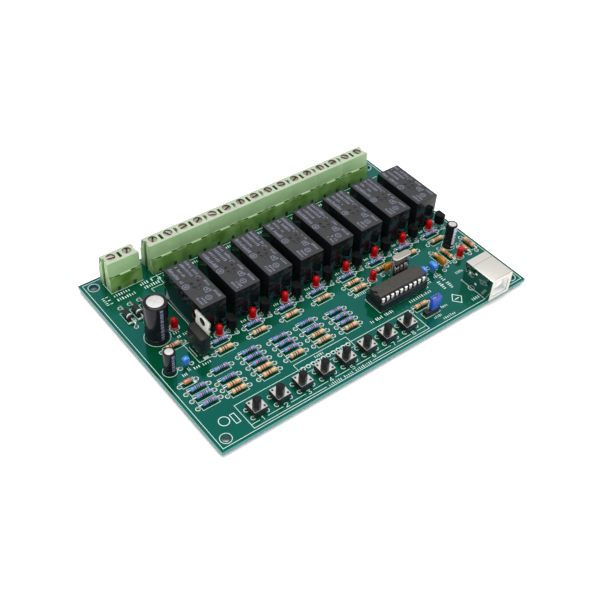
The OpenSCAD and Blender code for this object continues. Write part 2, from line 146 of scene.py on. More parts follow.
def solids(node):
    """The box of each separate solid of a CAD node, in millimetres, from -X to +X and -Y to +Y."""
    co, faces = welded(node)
    found = [Box(co[sorted(g)]) for g in islands(len(co), faces)]
    found = [b for b in found if max(b.d) > 1.0]
    return sorted(found, key=lambda b: (round(b.c.x, 1), round(b.c.y, 1)))


def board_holes():
    """Centre and diameter of every hole in the board, from its upright walls."""
    co, faces = welded("circuit_board")
    walls = []
    for f in faces:
        n = np.cross(co[f[1]] - co[f[0]], co[f[2]] - co[f[0]])
        if abs(n[2]) < 0.3 * np.linalg.norm(n):
            walls.append(f)
    out = []
    for g in islands(len(co), walls):
        b = Box(co[sorted(g)])
        if b.d.x < 5:
            out.append((b.c.x, b.c.y, (b.d.x + b.d.y) / 2))
    return out


# ---------------------------------------------------------------- materials
def material(name, color, rough=0.5, metal=0.0, var=0.06, scale=350.0, rough_var=0.06, bump=0.0,
             bump_scale=3000.0, bump_depth=0.00004, spec=0.5, coat=0.0, coat_rough=0.08, trans=0.0,
             ior=1.46, sss=0.0, sss_radius=(0.002, 0.001, 0.0008), stretch=(1, 1, 1), second=None, tint=None):
    m = bpy.data.materials.new(name)
    m.use_nodes = True
    nt = m.node_tree
    bsdf = next(n for n in nt.nodes if n.type == "BSDF_PRINCIPLED")
    bsdf.inputs["Metallic"].default_value = metal
    bsdf.inputs["Specular IOR Level"].default_value = spec
    bsdf.inputs["Coat Weight"].default_value = coat
    bsdf.inputs["Coat Roughness"].default_value = coat_rough
    bsdf.inputs["Transmission Weight"].default_value = trans
    bsdf.inputs["IOR"].default_value = ior
    if tint:
        bsdf.inputs["Specular Tint"].default_value = (*tint, 1)
    if sss:
        bsdf.inputs["Subsurface Weight"].default_value = sss
        bsdf.inputs["Subsurface Radius"].default_value = (1, 1, 1)
        bsdf.inputs["Subsurface Scale"].default_value = sss_radius[0]
    tc = nt.nodes.new("ShaderNodeTexCoord")
    mp = nt.nodes.new("ShaderNodeMapping")
    mp.inputs["Scale"].default_value = stretch
    nt.links.new(tc.outputs["Object"], mp.inputs["Vector"])
    n1 = nt.nodes.new("ShaderNodeTexNoise")
    n1.inputs["Scale"].default_value = scale
    n1.inputs["Detail"].default_value = 4.0
    nt.links.new(mp.outputs["Vector"], n1.inputs["Vector"])
    ramp = nt.nodes.new("ShaderNodeValToRGB")
    c0 = [max(0, c * (1 - var)) for c in color[:3]]
    c1 = list(second[:3]) if second else [min(1, c * (1 + var)) for c in color[:3]]
    ramp.color_ramp.elements[0].position = 0.33
    ramp.color_ramp.elements[1].position = 0.67
    ramp.color_ramp.elements[0].color = (*c0, 1)
    ramp.color_ramp.elements[1].color = (*c1, 1)
    nt.links.new(n1.outputs["Fac"], ramp.inputs["Fac"])
    nt.links.new(ramp.outputs["Color"], bsdf.inputs["Base Color"])
    mr = nt.nodes.new("ShaderNodeMapRange")
    mr.inputs["From Min"].default_value = 0.3
    mr.inputs["From Max"].default_value = 0.7
    mr.inputs["To Min"].default_value = max(0.02, rough - rough_var)
    mr.inputs["To Max"].default_value = min(1.0, rough + rough_var)
    nt.links.new(n1.outputs["Fac"], mr.inputs["Value"])
    nt.links.new(mr.outputs["Result"], bsdf.inputs["Roughness"])
    if bump > 0:
        n2 = nt.nodes.new("ShaderNodeTexNoise")
        n2.inputs["Scale"].default_value = bump_scale
        n2.inputs["Detail"].default_value = 3.0
        nt.links.new(mp.outputs["Vector"], n2.inputs["Vector"])
        bu = nt.nodes.new("ShaderNodeBump")
        bu.inputs["Strength"].default_value = bump
        bu.inputs["Distance"].default_value = bump_depth
        nt.links.new(n2.outputs["Fac"], bu.inputs["Height"])
        nt.links.new(bu.outputs["Normal"], bsdf.inputs["Normal"])
    m["bsdf"] = bsdf.name
    return m


def board_material():
    """Glossy green mask on the faces, pale laminate on the outer cut edges and painted shade on the walls of the holes.
    """
    m = material("solder_mask", (0.0, 0.043, 0.017), rough=0.13, var=0.10, scale=45, rough_var=0.03,
                 bump=0.10, bump_scale=260, bump_depth=0.00003, spec=0.85, ior=1.58, tint=(0.07, 0.78, 1.0))
    nt = m.node_tree
    bsdf = nt.nodes[m["bsdf"]]
    old = bsdf.inputs["Base Color"].links[0].from_socket
    ge = nt.nodes.new("ShaderNodeNewGeometry")
    se = nt.nodes.new("ShaderNodeSeparateXYZ")
    nt.links.new(ge.outputs["Normal"], se.inputs["Vector"])
    ab = nt.nodes.new("ShaderNodeMath")
    ab.operation = "ABSOLUTE"
    nt.links.new(se.outputs["Z"], ab.inputs[0])
    gt = nt.nodes.new("ShaderNodeMath")
    gt.operation = "LESS_THAN"
    gt.inputs[1].default_value = 0.5
    nt.links.new(ab.outputs["Value"], gt.inputs[0])
    # the outer rim of the board is pale; the walls of its holes are painted near-black, a painted shade
    tc = nt.nodes.new("ShaderNodeTexCoord")
    sp = nt.nodes.new("ShaderNodeSeparateXYZ")
    nt.links.new(tc.outputs["Object"], sp.inputs["Vector"])
    far = []
    for axis, half in (("X", (B_HI.x - B_LO.x) / 2), ("Y", (B_HI.y - B_LO.y) / 2)):
        a = nt.nodes.new("ShaderNodeMath")
        a.operation = "ABSOLUTE"
        nt.links.new(sp.outputs[axis], a.inputs[0])
        g = nt.nodes.new("ShaderNodeMath")
        g.operation = "GREATER_THAN"
        g.inputs[1].default_value = half - 0.0005
        nt.links.new(a.outputs["Value"], g.inputs[0])
        far.append(g)
    rim = nt.nodes.new("ShaderNodeMath")
    rim.operation = "MAXIMUM"
    nt.links.new(far[0].outputs["Value"], rim.inputs[0])
    nt.links.new(far[1].outputs["Value"], rim.inputs[1])
    wall = nt.nodes.new("ShaderNodeMix")
    wall.data_type = "RGBA"
    # A: near-black painted shade for the hole walls; B: pale laminate for the outer rim
    wall.inputs["A"].default_value = (0.004, 0.012, 0.008, 1)
    wall.inputs["B"].default_value = (0.018, 0.145, 0.112, 1)
    nt.links.new(rim.outputs["Value"], wall.inputs["Factor"])
    edge = nt.nodes.new("ShaderNodeMix")
    edge.data_type = "RGBA"
    nt.links.new(wall.outputs["Result"], edge.inputs["B"])
    nt.links.new(gt.outputs["Value"], edge.inputs["Factor"])
    nt.links.new(old, edge.inputs["A"])
    nt.links.new(edge.outputs["Result"], bsdf.inputs["Base Color"])
    return m


M = {}
M["mask"] = board_material()
M["silk"] = material("silk_white", (0.49, 0.61, 0.58), rough=0.6, var=0.05, scale=900, spec=0.2)
M["pad"] = material("tinned_pad", (0.14, 0.20, 0.18), rough=0.40, metal=0.3, var=0.10, scale=900)
M["solder"] = material("solder", (0.66, 0.67, 0.68), rough=0.22, metal=1.0, var=0.05, scale=700, bump=0.2)
M["lead"] = material("lead_wire", (0.50, 0.51, 0.50), rough=0.30, metal=1.0, var=0.08, scale=600)
# near-black for the walls of the regulator tab's hole: painted shade
M["hole"] = material("hole_dark", (0.012, 0.02, 0.016), rough=0.7)
M["term"] = material("terminal_green", (0.261, 0.405, 0.205), rough=0.45, var=0.05, scale=160, bump=0.15,
                     bump_scale=2500, sss=0.15, sss_radius=(0.001, 0, 0), spec=0.35)
# paler, greyer copy of the terminal green for the upward faces of the top: painted sheen
M["term_top"] = material("terminal_green_top", (0.30, 0.345, 0.265), rough=0.42, var=0.04, scale=160, bump=0.15,
                         bump_scale=2500, spec=0.35)
# darker, more saturated green for the lower front faces, painted shade, mottled with a lighter green that stands in for
# highlights
M["term_low"] = material("terminal_green_skirt", (0.062, 0.16, 0.018), rough=0.40, var=0.10, scale=150,
                         second=(0.165, 0.30, 0.085), bump=0.1, bump_scale=2500, spec=0.25)
# dark copy of the terminal green for faces inside the wells and recesses: painted shade
M["term_in"] = material("terminal_green_inner", (0.045, 0.10, 0.02), rough=0.5, var=0.10, scale=300, spec=0.2)
M["cage"] = material("cage_metal", (0.55, 0.55, 0.52), rough=0.34, metal=1.0, var=0.08, scale=500)
M["screw"] = material("screw_metal", (0.372, 0.318, 0.273), rough=0.40, metal=1.0, var=0.16, scale=900, bump=0.5,
                      bump_scale=2500)
# dark copy of the screw metal for the faces of the slot: painted shade
M["slot"] = material("screw_slot", (0.10, 0.085, 0.075), rough=0.6, metal=0.6, var=0.1, scale=900)
M["relay"] = material("relay_case", (0.005, 0.0065, 0.007), rough=0.09, var=0.12, scale=300, rough_var=0.02,
                      bump=0.02, bump_scale=300, spec=0.30)
# matte, textured top; its grey, lighter than the black case, is painted sheen
M["relay_top"] = material("relay_top", (0.029, 0.029, 0.031), rough=0.60, var=0.14, scale=900, bump=0.5,
                          bump_scale=6000, bump_depth=0.00003, spec=0.18)
M["relay_print"] = material("relay_print", (0.12, 0.132, 0.18), rough=0.6, var=0.10, scale=1500, spec=0.2)
M["btn"] = material("button_black", (0.008, 0.008, 0.009), rough=0.38, var=0.15, scale=500, bump=0.2, spec=0.3)
M["plunger"] = material("plunger_black", (0.005, 0.005, 0.006), rough=0.38, var=0.12, scale=400, bump=0.15, spec=0.17)
M["plate"] = material("cover_plate", (0.80, 0.79, 0.75), rough=0.10, metal=1.0, var=0.03, scale=400, rough_var=0.02)
M["rivet"] = material("rivet_dark", (0.026, 0.021, 0.019), rough=0.4, var=0.1, scale=900, spec=0.25)
M["jumper"] = material("jumper_blue", (0.022, 0.065, 0.40), rough=0.32, var=0.08, scale=400, spec=0.4)
M["header"] = material("header_black", (0.007, 0.007, 0.008), rough=0.45, var=0.15, scale=500, bump=0.3, spec=0.35)
M["gold"] = material("gold_plate", (0.55, 0.50, 0.26), rough=0.24, metal=1.0, var=0.06, scale=500)
# the top is a lighter grey than the sides below: painted sheen
M["chip"] = material("chip_grey", (0.037, 0.035, 0.032), rough=0.55, var=0.14, scale=700, bump=0.5,
                     bump_scale=5000, bump_depth=0.00003, spec=0.2)
M["chip_side"] = material("chip_side", (0.016, 0.016, 0.016), rough=0.45, var=0.12, scale=700, bump=0.3,
                          bump_scale=5000, bump_depth=0.00003, spec=0.3)
M["chip_pin"] = material("chip_pin", (0.95, 0.95, 0.94), rough=0.38, metal=0.45, var=0.03, scale=600)
M["socket"] = material("socket_black", (0.006, 0.007, 0.008), rough=0.42, var=0.15, scale=400, bump=0.25, spec=0.35)
# the side steel is tinted green: painted reflection of the board; the front and top copies below are lighter: painted
# light
M["usb"] = material("shell_steel", (0.31, 0.39, 0.34), rough=0.09, metal=1.0, var=0.03, scale=60, rough_var=0.02)
M["usb_front"] = material("shell_steel_front", (0.52, 0.49, 0.44), rough=0.34, metal=0.6, var=0.04, scale=60, rough_var=0.03)
M["usb_top"] = material("shell_steel_top", (0.63, 0.61, 0.575), rough=0.30, metal=0.75, var=0.03, scale=60, rough_var=0.03)
M["seam"] = material("shell_seam", (0.16, 0.15, 0.13), rough=0.5, metal=0.6)
M["usb_white"] = material("insert_white", (0.80, 0.80, 0.80), rough=0.45, var=0.03, scale=300)
# the blue middle is lighter than the blue ends: painted highlight between the bands
M["film_blue"] = material("film_blue", (0.15, 0.25, 0.43), rough=0.30, var=0.10, scale=800, coat=0.5)
M["film_pale"] = material("film_blue_pale", (0.065, 0.19, 0.40), rough=0.30, var=0.10, scale=800, coat=0.25)
# the beige and tan ends are lighter than their middles: painted highlight on the end bulges
M["film_beige"] = material("film_beige", (0.41, 0.29, 0.165), rough=0.36, var=0.10, scale=800, coat=0.2)
M["beige_end_highlight"] = material("film_beige_pale", (0.46, 0.33, 0.185), rough=0.32, var=0.10, scale=800, coat=0.2)
M["film_tan"] = material("film_tan", (0.30, 0.17, 0.06), rough=0.36, var=0.10, scale=800, coat=0.2)
M["cap_tan"] = material("film_tan_pale", (0.42, 0.27, 0.12), rough=0.32, var=0.10, scale=800, coat=0.2)
BAND = {
    "brown": material("band_brown", (0.13, 0.030, 0.006), rough=0.4, spec=0.3),
    "black": material("band_black", (0.002, 0.002, 0.007), rough=0.4, spec=0.2),
    "red": material("band_red", (0.40, 0.012, 0.012), rough=0.4, spec=0.3),
    "orange": material("band_orange", (0.42, 0.07, 0.01), rough=0.4, spec=0.3),
    "violet": material("band_violet", (0.006, 0.008, 0.05), rough=0.4, spec=0.25),
    "gold": material("band_gold", (0.42, 0.29, 0.09), rough=0.35, metal=0.4),
}
M["led"] = material("led_red", (0.33, 0.0004, 0.002), rough=0.09, var=0.05, scale=300, sss=0.05,
                    sss_radius=(0.0006, 0, 0), rough_var=0.02, spec=0.17)
# paler pink copy of the lens red for the flange: painted highlight
M["led_foot"] = material("led_red_foot", (0.50, 0.12, 0.10), rough=0.2, var=0.05, scale=300, sss=0.1,
                         sss_radius=(0.0006, 0, 0))
M["to92"] = material("transistor_black", (0.0025, 0.0025, 0.003), rough=0.36, var=0.12, scale=400, bump=0.25, spec=0.14)
M["reg"] = material("regulator_body", (0.009, 0.0088, 0.0088), rough=0.45, var=0.12, scale=400, bump=0.3, spec=0.2)
M["reg_front"] = material("regulator_front", (0.008, 0.009, 0.010), rough=0.30, var=0.12, scale=400, bump=0.2, spec=0.35)
M["tab"] = material("regulator_tab", (0.88, 0.87, 0.82), rough=0.42, metal=0.3, var=0.06, scale=500)
M["tab_edge"] = material("regulator_tab_edge", (0.30, 0.30, 0.27), rough=0.35, metal=0.7, var=0.06, scale=500)
M["sleeve"] = material("can_sleeve", (0.006, 0.006, 0.008), rough=0.14, var=0.10, scale=200, rough_var=0.03,
                       spec=0.22)
M["stripe"] = material("can_stripe", (0.17, 0.19, 0.27), rough=0.25, var=0.10, scale=500)
M["stripe_pale"] = material("can_stripe_pale", (0.56, 0.56, 0.68), rough=0.3, var=0.08, scale=500)
M["alu"] = material("can_top", (0.42, 0.42, 0.415), rough=0.42, metal=0.3, var=0.03, scale=300)
M["score"] = material("can_score", (0.30, 0.30, 0.30), rough=0.45, metal=0.6)
M["blue_cap"] = material("ceramic_blue", (0.022, 0.155, 0.48), rough=0.20, var=0.08, scale=500, coat=0.4)
M["orange_cap"] = material("ceramic_orange", (0.28, 0.108, 0.003), rough=0.32, var=0.10, scale=500, spec=0.3, coat=0.1)
M["diode"] = material("diode_black", (0.008, 0.008, 0.009), rough=0.36, var=0.12, scale=400, bump=0.2, spec=0.35)
M["diode_band"] = material("diode_band", (0.50, 0.50, 0.50), rough=0.35, metal=0.3)
M["glass"] = material("diode_glass", (0.95, 0.66, 0.45), rough=0.05, var=0.03, scale=400, trans=0.85, rough_var=0.02)
M["glass_core"] = material("diode_core", (0.55, 0.12, 0.03), rough=0.3, var=0.1, scale=700)
M["crystal"] = material("crystal_can", (0.62, 0.60, 0.56), rough=0.08, metal=1.0, var=0.04, scale=120, rough_var=0.03)
M["crystal_top"] = material("crystal_can_top", (0.37, 0.345, 0.31), rough=0.32, metal=0.7, var=0.04, scale=120)


# ---------------------------------------------------------------- mesh code
class Piece:
    """Collects faces with their materials and makes one object of them."""

    def __init__(self, name, body="board"):
        self.name, self.body = name, body
        self.v, self.f, self.mi, self.mats = [], [], [], []

    def idx(self, mat):
        if mat not in self.mats:
            self.mats.append(mat)
        return self.mats.index(mat)

    def add(self, verts, faces, mat, xf=None):
        base = len(self.v)
        self.v += [(xf @ Vector(p) if xf else Vector(p)) for p in verts]
        per = mat if isinstance(mat, list) else [mat] * len(faces)
        for f, m in zip(faces, per):
            self.f.append([base + i for i in f])
            self.mi.append(self.idx(m))

    def make(self, replaces=(), sharp=38.0, smooth=True, bevel=None):
        me = bpy.data.meshes.new(self.name)
        me.from_pydata([tuple(p * 0.001) for p in self.v], [], self.f)
        for m in self.mats:
            me.materials.append(m)
        me.polygons.foreach_set("material_index", self.mi)
        me.validate()
        if smooth:
            me.shade_smooth()
            me.set_sharp_from_angle(angle=math.radians(sharp))
        me.update()
        o = bpy.data.objects.new(self.name, me)
        bpy.context.scene.collection.objects.link(o)
        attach(o, self.body)
        if replaces:
            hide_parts(*replaces)
        return o


def loft(p, rings, mat, caps=(True, True), xf=None):
    """Skins closed rings of equal count. Rings run anticlockwise about the direction they rise in."""
    n = len(rings[0])
    verts = [q for r in rings for q in r]
    faces, mats = [], []
    for k in range(len(rings) - 1):
        m = mat[k] if isinstance(mat, list) else mat
        for i in range(n):
            j = (i + 1) % n
            faces.append([k * n + i, k * n + j, (k + 1) * n + j, (k + 1) * n + i])
            mats.append(m)
    if caps[0]:
        faces.append(list(range(n - 1, -1, -1)))
        mats.append(mat[0] if isinstance(mat, list) else mat)
    if caps[1]:
        b = (len(rings) - 1) * n
        faces.append([b + i for i in range(n)])
        mats.append(mat[-1] if isinstance(mat, list) else mat)
    p.add(verts, faces, mats, xf)


def circle(r, z, n=32, ph=0.0):
    return [(r * math.cos(ph + 2 * math.pi * i / n), r * math.sin(ph + 2 * math.pi * i / n), z) for i in range(n)]


def revolve(p, prof, mat, n=32, xf=None, caps=(True, True)):
    """prof holds (z, r) from low to high."""
    loft(p, [circle(max(r, 0.004), z, n) for z, r in prof], mat, caps, xf)


def rrect(w, l, r, z, n=4):
    """Rounded rectangle outline, w along X and l along Y."""
    r = max(0.003, min(r, w / 2 - 0.001, l / 2 - 0.001))
    out = []
    for cx, cy, a0 in ((w / 2 - r, l / 2 - r, 0), (-w / 2 + r, l / 2 - r, 90), (-w / 2 + r, -l / 2 + r, 180),
                       (w / 2 - r, -l / 2 + r, 270)):
        for k in range(n + 1):
            a = math.radians(a0 + 90 * k / n)
            out.append((cx + r * math.cos(a), cy + r * math.sin(a), z))
    return out


def rbox(p, lo, hi, r, mat, n=3, top=None, r_bot=None, taper=0.0, rc=None, xf=None):
    """Box with rounded edges between two corners. top: material of the upper face. taper: inset at the top."""
    w, l = hi[0] - lo[0], hi[1] - lo[1]
    c = ((lo[0] + hi[0]) / 2, (lo[1] + hi[1]) / 2)
    rb = r if r_bot is None else r_bot
    rc = r if rc is None else rc
    rings, mats = [], []
    h = hi[2] - lo[2]

    def ring(inset, z):
        t = taper * (z - lo[2]) / h
        return [(q[0] + c[0], q[1] + c[1], z) for q in
                rrect(w - 2 * (inset + t), l - 2 * (inset + t), rc - inset, 0, n)]

    for k in range(n + 1):
        a = math.radians(90 * k / n)
        if rb > 0:
            rings.append(ring(rb * (1 - math.sin(a)), lo[2] + rb * (1 - math.cos(a))))
    if rb <= 0:
        rings.append(ring(0, lo[2]))
    low = len(rings)
    if r > 0:
        for k in range(n + 1):
            a = math.radians(90 * k / n)
            rings.append(ring(r * (1 - math.cos(a)), hi[2] - r * (1 - math.sin(a))))
    else:
        rings.append(ring(0, hi[2]))
    mats = [mat] * (len(rings) - 1)
    if top is not None:
        for k in range(low + (1 if r > 0 else 0), len(mats)):
            mats[k] = top
        mats.append(top)
    loft(p, rings, mats, xf=xf)


def flat_box(p, lo, hi, mat, xf=None):
    x0, y0, z0 = lo
    x1, y1, z1 = hi
    v = [(x0, y0, z0), (x1, y0, z0), (x1, y1, z0), (x0, y1, z0), (x0, y0, z1), (x1, y0, z1), (x1, y1, z1), (x0, y1, z1)]
    f = [[3, 2, 1, 0], [4, 5, 6, 7], [0, 1, 5, 4], [1, 2, 6, 5], [2, 3, 7, 6], [3, 0, 4, 7]]
    p.add(v, f, mat, xf)


def cbox(p, lo, hi, c, mat, xf=None):
    """Small box with chamfered edges."""
    rbox(p, lo, hi, c, mat, n=1, xf=xf)


def tube(p, pts, r, mat, n=10, caps=(True, True)):
    """Round wire through points, with turned corners already in the points."""
    pts = [Vector(q) for q in pts]
    rings = []
    t0 = (pts[1] - pts[0]).normalized()
    up = Vector((0, 0, 1)) if abs(t0.z) < 0.9 else Vector((1, 0, 0))
    u = t0.cross(up).normalized()
    for i, q in enumerate(pts):
        t = ((pts[min(i + 1, len(pts) - 1)] - pts[max(i - 1, 0)])).normalized()
        u = (u - t * u.dot(t)).normalized()
        w = t.cross(u)
        rr = r[i] if isinstance(r, list) else r
        rings.append([q + (u * math.cos(2 * math.pi * k / n) + w * math.sin(2 * math.pi * k / n)) * rr for k in range(n)])
    loft(p, rings, mat, caps)


def bend(a, corner, b, r, n=5):
    """Points from a to b by way of a rounded corner."""
    a, c, b = Vector(a), Vector(corner), Vector(b)
    u, v = (a - c).normalized(), (b - c).normalized()
    half = math.acos(max(-1, min(1, u.dot(v)))) / 2
    d = r / math.tan(half)
    s, e = c + u * d, c + v * d
    o = c + (u + v).normalized() * (r / math.sin(half))
    out = [a]
    x, y = (s - o), (e - o)
    ang = x.angle(y)
    for k in range(n + 1):
        t = k / n
        out.append(o + (x * math.sin((1 - t) * ang) + y * math.sin(t * ang)) / math.sin(ang))
    return out + [b]


def ribbon(p, pts, w, t, mat, axis="y"):
    """Flat metal strip along points in a plane; w is its width along the given axis, t its thickness."""
    pts = [Vector(q) for q in pts]
    side = Vector((0, 1, 0)) if axis == "y" else Vector((1, 0, 0))
    rings = []
    for i, q in enumerate(pts):
        d = (pts[min(i + 1, len(pts) - 1)] - pts[max(i - 1, 0)]).normalized()
        n = d.cross(side).normalized()
        ww = (w[i] if isinstance(w, list) else w) / 2
        rings.append([q - side * ww - n * t / 2, q + side * ww - n * t / 2, q + side * ww + n * t / 2, q - side * ww + n * t / 2])
    loft(p, [list(reversed(r)) for r in rings], mat)


LAYER = [0]


def line2d(p, pts, w, mat, closed=False, z=None, h=0.03):
    """A printed line of width w, mitred at its corners, just proud of the surface."""
    LAYER[0] = (LAYER[0] + 1) % 9
    z = TOP if z is None else z
    hh = h + LAYER[0] * 0.0016
    pts = [Vector((q[0], q[1])) for q in pts]
    n = len(pts)
    left, right = [], []
    for i in range(n):
        a = pts[(i - 1) % n] if (closed or i > 0) else None
        b = pts[(i + 1) % n] if (closed or i < n - 1) else None
        d1 = (pts[i] - a).normalized() if a is not None else None
        d2 = (b - pts[i]).normalized() if b is not None else None
        if d1 is None:
            d1 = d2
        if d2 is None:
            d2 = d1
        t = d1 + d2
        t = t.normalized() if t.length > 1e-6 else d1
        nrm = Vector((-t.y, t.x))
        k = max(0.35, nrm.dot(Vector((-d1.y, d1.x))))
        left.append(pts[i] + nrm * (w / 2 / k))
        right.append(pts[i] - nrm * (w / 2 / k))
    verts, faces = [], []
    for i in range(n):
        l, r = left[i], right[i]
        verts += [(l.x, l.y, z + hh), (r.x, r.y, z + hh), (l.x, l.y, z), (r.x, r.y, z)]
    m = n if closed else n - 1
    for i in range(m):
        a, b = 4 * i, 4 * ((i + 1) % n)
        faces += [[a, a + 1, b + 1, b], [a + 2, a, b, b + 2], [a + 1, a + 3, b + 3, b + 1]]
    if not closed:
        e = 4 * (n - 1)
        faces += [[0, 2, 3, 1], [e, e + 1, e + 3, e + 2]]
    p.add(verts, faces, mat)


def ring2d(p, c, r, w, mat, n=24, a0=0, a1=360, z=None, h=0.03):
    full = a1 - a0 >= 360
    pts = [(c[0] + r * math.cos(math.radians(a0 + (a1 - a0) * k / n)), c[1] + r * math.sin(math.radians(a0 + (a1 - a0) * k / n)))
           for k in range(n if full else n + 1)]
    line2d(p, pts, w, mat, closed=full, z=z, h=h)


def washer(p, c, r0, r1, z0, z1, mat, n=24):
    """Flat ring seen from above, with its inner and outer walls."""
    rings = [circle(r1, z0, n), circle(r1, z1, n), circle(r0, z1, n), circle(r0, z0, n)]
    loft(p, [[(q[0] + c[0], q[1] + c[1], q[2]) for q in r] for r in rings], mat, caps=(False, False))


def refined(node, name, mat, width=0.12, segs=2, angle=40, longest=0.9, replaces=True, top=None, body=None,
            top_z=None, extra=None, pick=None, sharp=38.0):
    """A copy of a CAD node with its flat faces joined up and its long edges rounded.
    pick(centre, normal, face) may give the material of a face."""
    co, faces = welded(node)
    bm = bmesh.new()
    vs = [bm.verts.new(c) for c in co]
    for f in faces:
        try:
            bm.faces.new([vs[i] for i in f])
        except ValueError:
            pass
    bmesh.ops.dissolve_limit(bm, angle_limit=math.radians(0.6), verts=bm.verts, edges=bm.edges)
    bm.normal_update()
    chosen = []
    for e in bm.edges:
        if len(e.link_faces) == 2 and e.calc_length() > longest and math.degrees(e.calc_face_angle(0)) > angle \
                and e.is_convex:
            chosen.append(e)
    if width > 0 and chosen:
        bmesh.ops.bevel(bm, geom=chosen, offset=width, segments=segs, profile=0.5, affect="EDGES", clamp_overlap=True)
    bm.normal_update()
    p = Piece(name, body or NODES[node]["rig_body"])
    vi = {v: i for i, v in enumerate(bm.verts)}
    verts = [v.co.copy() for v in bm.verts]
    fl, ml = [], []
    for f in bm.faces:
        fl.append([vi[v] for v in f.verts])
        m = mat
        if top is not None and f.normal.z > 0.7 and f.calc_center_median().z > top_z:
            m = top
        if pick is not None:
            m = pick(f.calc_center_median(), f.normal, f) or m
        ml.append(m)
    p.add(verts, fl, ml)
    bm.free()
    if extra:
        extra(p)
    return p.make(replaces=(node,) if replaces else (), sharp=sharp)


def cyl_patch(p, c, r, a0, a1, z0, z1, mat, n=6):
    """A patch lying on an upright cylinder, angles in degrees."""
    verts, faces = [], []
    for k in range(n + 1):
        a = math.radians(a0 + (a1 - a0) * k / n)
        for z in (z0, z1):
            verts.append((c[0] + r * math.cos(a), c[1] + r * math.sin(a), z))
    for k in range(n):
        faces.append([2 * k, 2 * k + 2, 2 * k + 3, 2 * k + 1])
    p.add(verts, faces, mat)


def patch(p, pts, mat, z, h=0.012):
    """A flat printed field lying on a level face."""
    n = len(pts)
    verts = [(q[0], q[1], z + h) for q in pts] + [(q[0], q[1], z) for q in pts]
    area = sum(pts[i][0] * pts[(i + 1) % n][1] - pts[(i + 1) % n][0] * pts[i][1] for i in range(n))
    top = list(range(n)) if area > 0 else list(range(n - 1, -1, -1))
    faces = [top]
    for i in range(n):
        j = (i + 1) % n
        faces.append([i + n, j + n, j, i] if area > 0 else [j + n, i + n, i, j])
    p.add(verts, faces, mat)


def bars(p, a, b, h, mat, z=None, step=None, fill=0.62, up=0.03):
    """A row of short upright marks between two points, standing in for a line of print."""
    z = TOP if z is None else z
    a, b = Vector(a[:2]), Vector(b[:2])
    d = b - a
    n = max(2, int(round(d.length / (step or h * 0.72))))
    u = d.normalized()
    v = Vector((-u.y, u.x)) * h / 2
    cell = d.length / n
    for k in range(n):
        if rng.random() < 0.08 and 0 < k < n - 1:
            continue
        w = cell * fill * rng.uniform(0.55, 1.15)
        c = a + u * cell * (k + 0.5)
        t = rng.choice((0.72, 0.85, 1.0, 1.0))
        q = [c - u * w / 2 - v, c + u * w / 2 - v, c + u * w / 2 + v * (2 * t - 1), c - u * w / 2 + v * (2 * t - 1)]
        patch(p, q, mat, z, up)


def dot(p, c, r, mat, z, h=0.012, n=14):
    patch(p, [(c[0] + r * math.cos(2 * math.pi * k / n), c[1] + r * math.sin(2 * math.pi * k / n)) for k in range(n)],
          mat, z, h)


# ---------------------------------------------------------------- camera, light, floor
cam_data = bpy.data.cameras.new("camera")
cam_data.sensor_width = 36.0
cam_data.lens = 951.19 * 36.0 / 600.0
cam_data.clip_start = 0.01
cam_data.clip_end = 10.0
cam = bpy.data.objects.new("camera", cam_data)
bpy.context.scene.collection.objects.link(cam)
right = Vector((0.78610, -0.61558, 0.05570))
down = Vector((-0.39860, -0.57375, -0.71549))
ahead = Vector((0.47240, 0.54025, -0.69640))
rot = Matrix((right, -down, -ahead)).transposed()
eye = Vector((B_LO.x * 1000 - 116.535, B_LO.y * 1000 - 168.794, 278.115)) * 0.001
cam.matrix_world = Matrix.Translation(eye) @ rot.to_4x4()
bpy.context.scene.camera = cam


def area(name, where, target, size, power, color=(1, 1, 1), size_y=None):
    d = bpy.data.lights.new(name, "AREA")
    d.energy = power
    d.color = color
    d.size = size
    if size_y:
        d.shape = "RECTANGLE"
        d.size_y = size_y
    o = bpy.data.objects.new(name, d)
    o.location = Vector(where)
    o.rotation_euler = (Vector(target) - Vector(where)).to_track_quat("-Z", "Y").to_euler()
    bpy.context.scene.collection.objects.link(o)
    return o


area("key", (-0.05, 0.07, 0.82), (0, 0, 0), 0.60, 6.9, (1.0, 0.985, 0.965))
area("fill", (0.50, -0.40, 0.62), (0, 0, 0), 0.42, 2.4, (0.97, 0.985, 1.0))
area("front", (-0.55, -0.60, 0.40), (0, 0, 0), 0.40, 1.0)

world = bpy.data.worlds.new("studio")
bpy.context.scene.world = world
world.use_nodes = True
wn = world.node_tree
bg = next(n for n in wn.nodes if n.type == "BACKGROUND")
bg.inputs["Color"].default_value = (1.0, 1.0, 1.0, 1)
bg.inputs["Strength"].default_value = 0.78
bpy.context.scene.view_settings.view_transform = "Standard"

floor_p = Piece("floor")
floor_p.add([(-3000, -3000, 0), (3000, -3000, 0), (3000, 3000, 0), (-3000, 3000, 0)], [[0, 1, 2, 3]],
            material("floor_white", (0.97, 0.97, 0.97), rough=0.85, var=0.004, scale=6, rough_var=0.02))
fme = bpy.data.meshes.new("floor")
fme.from_pydata([tuple(Vector((q[0], q[1], TIP - 0.02)) * 0.001) for q in floor_p.v], [], floor_p.f)
fme.materials.append(floor_p.mats[0])
floor = bpy.data.objects.new("floor", fme)
bpy.context.scene.collection.objects.link(floor)
floor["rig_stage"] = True

# ---------------------------------------------------------------- board
NODES["circuit_board"].data.materials.clear()
NODES["circuit_board"].data.materials.append(M["mask"])

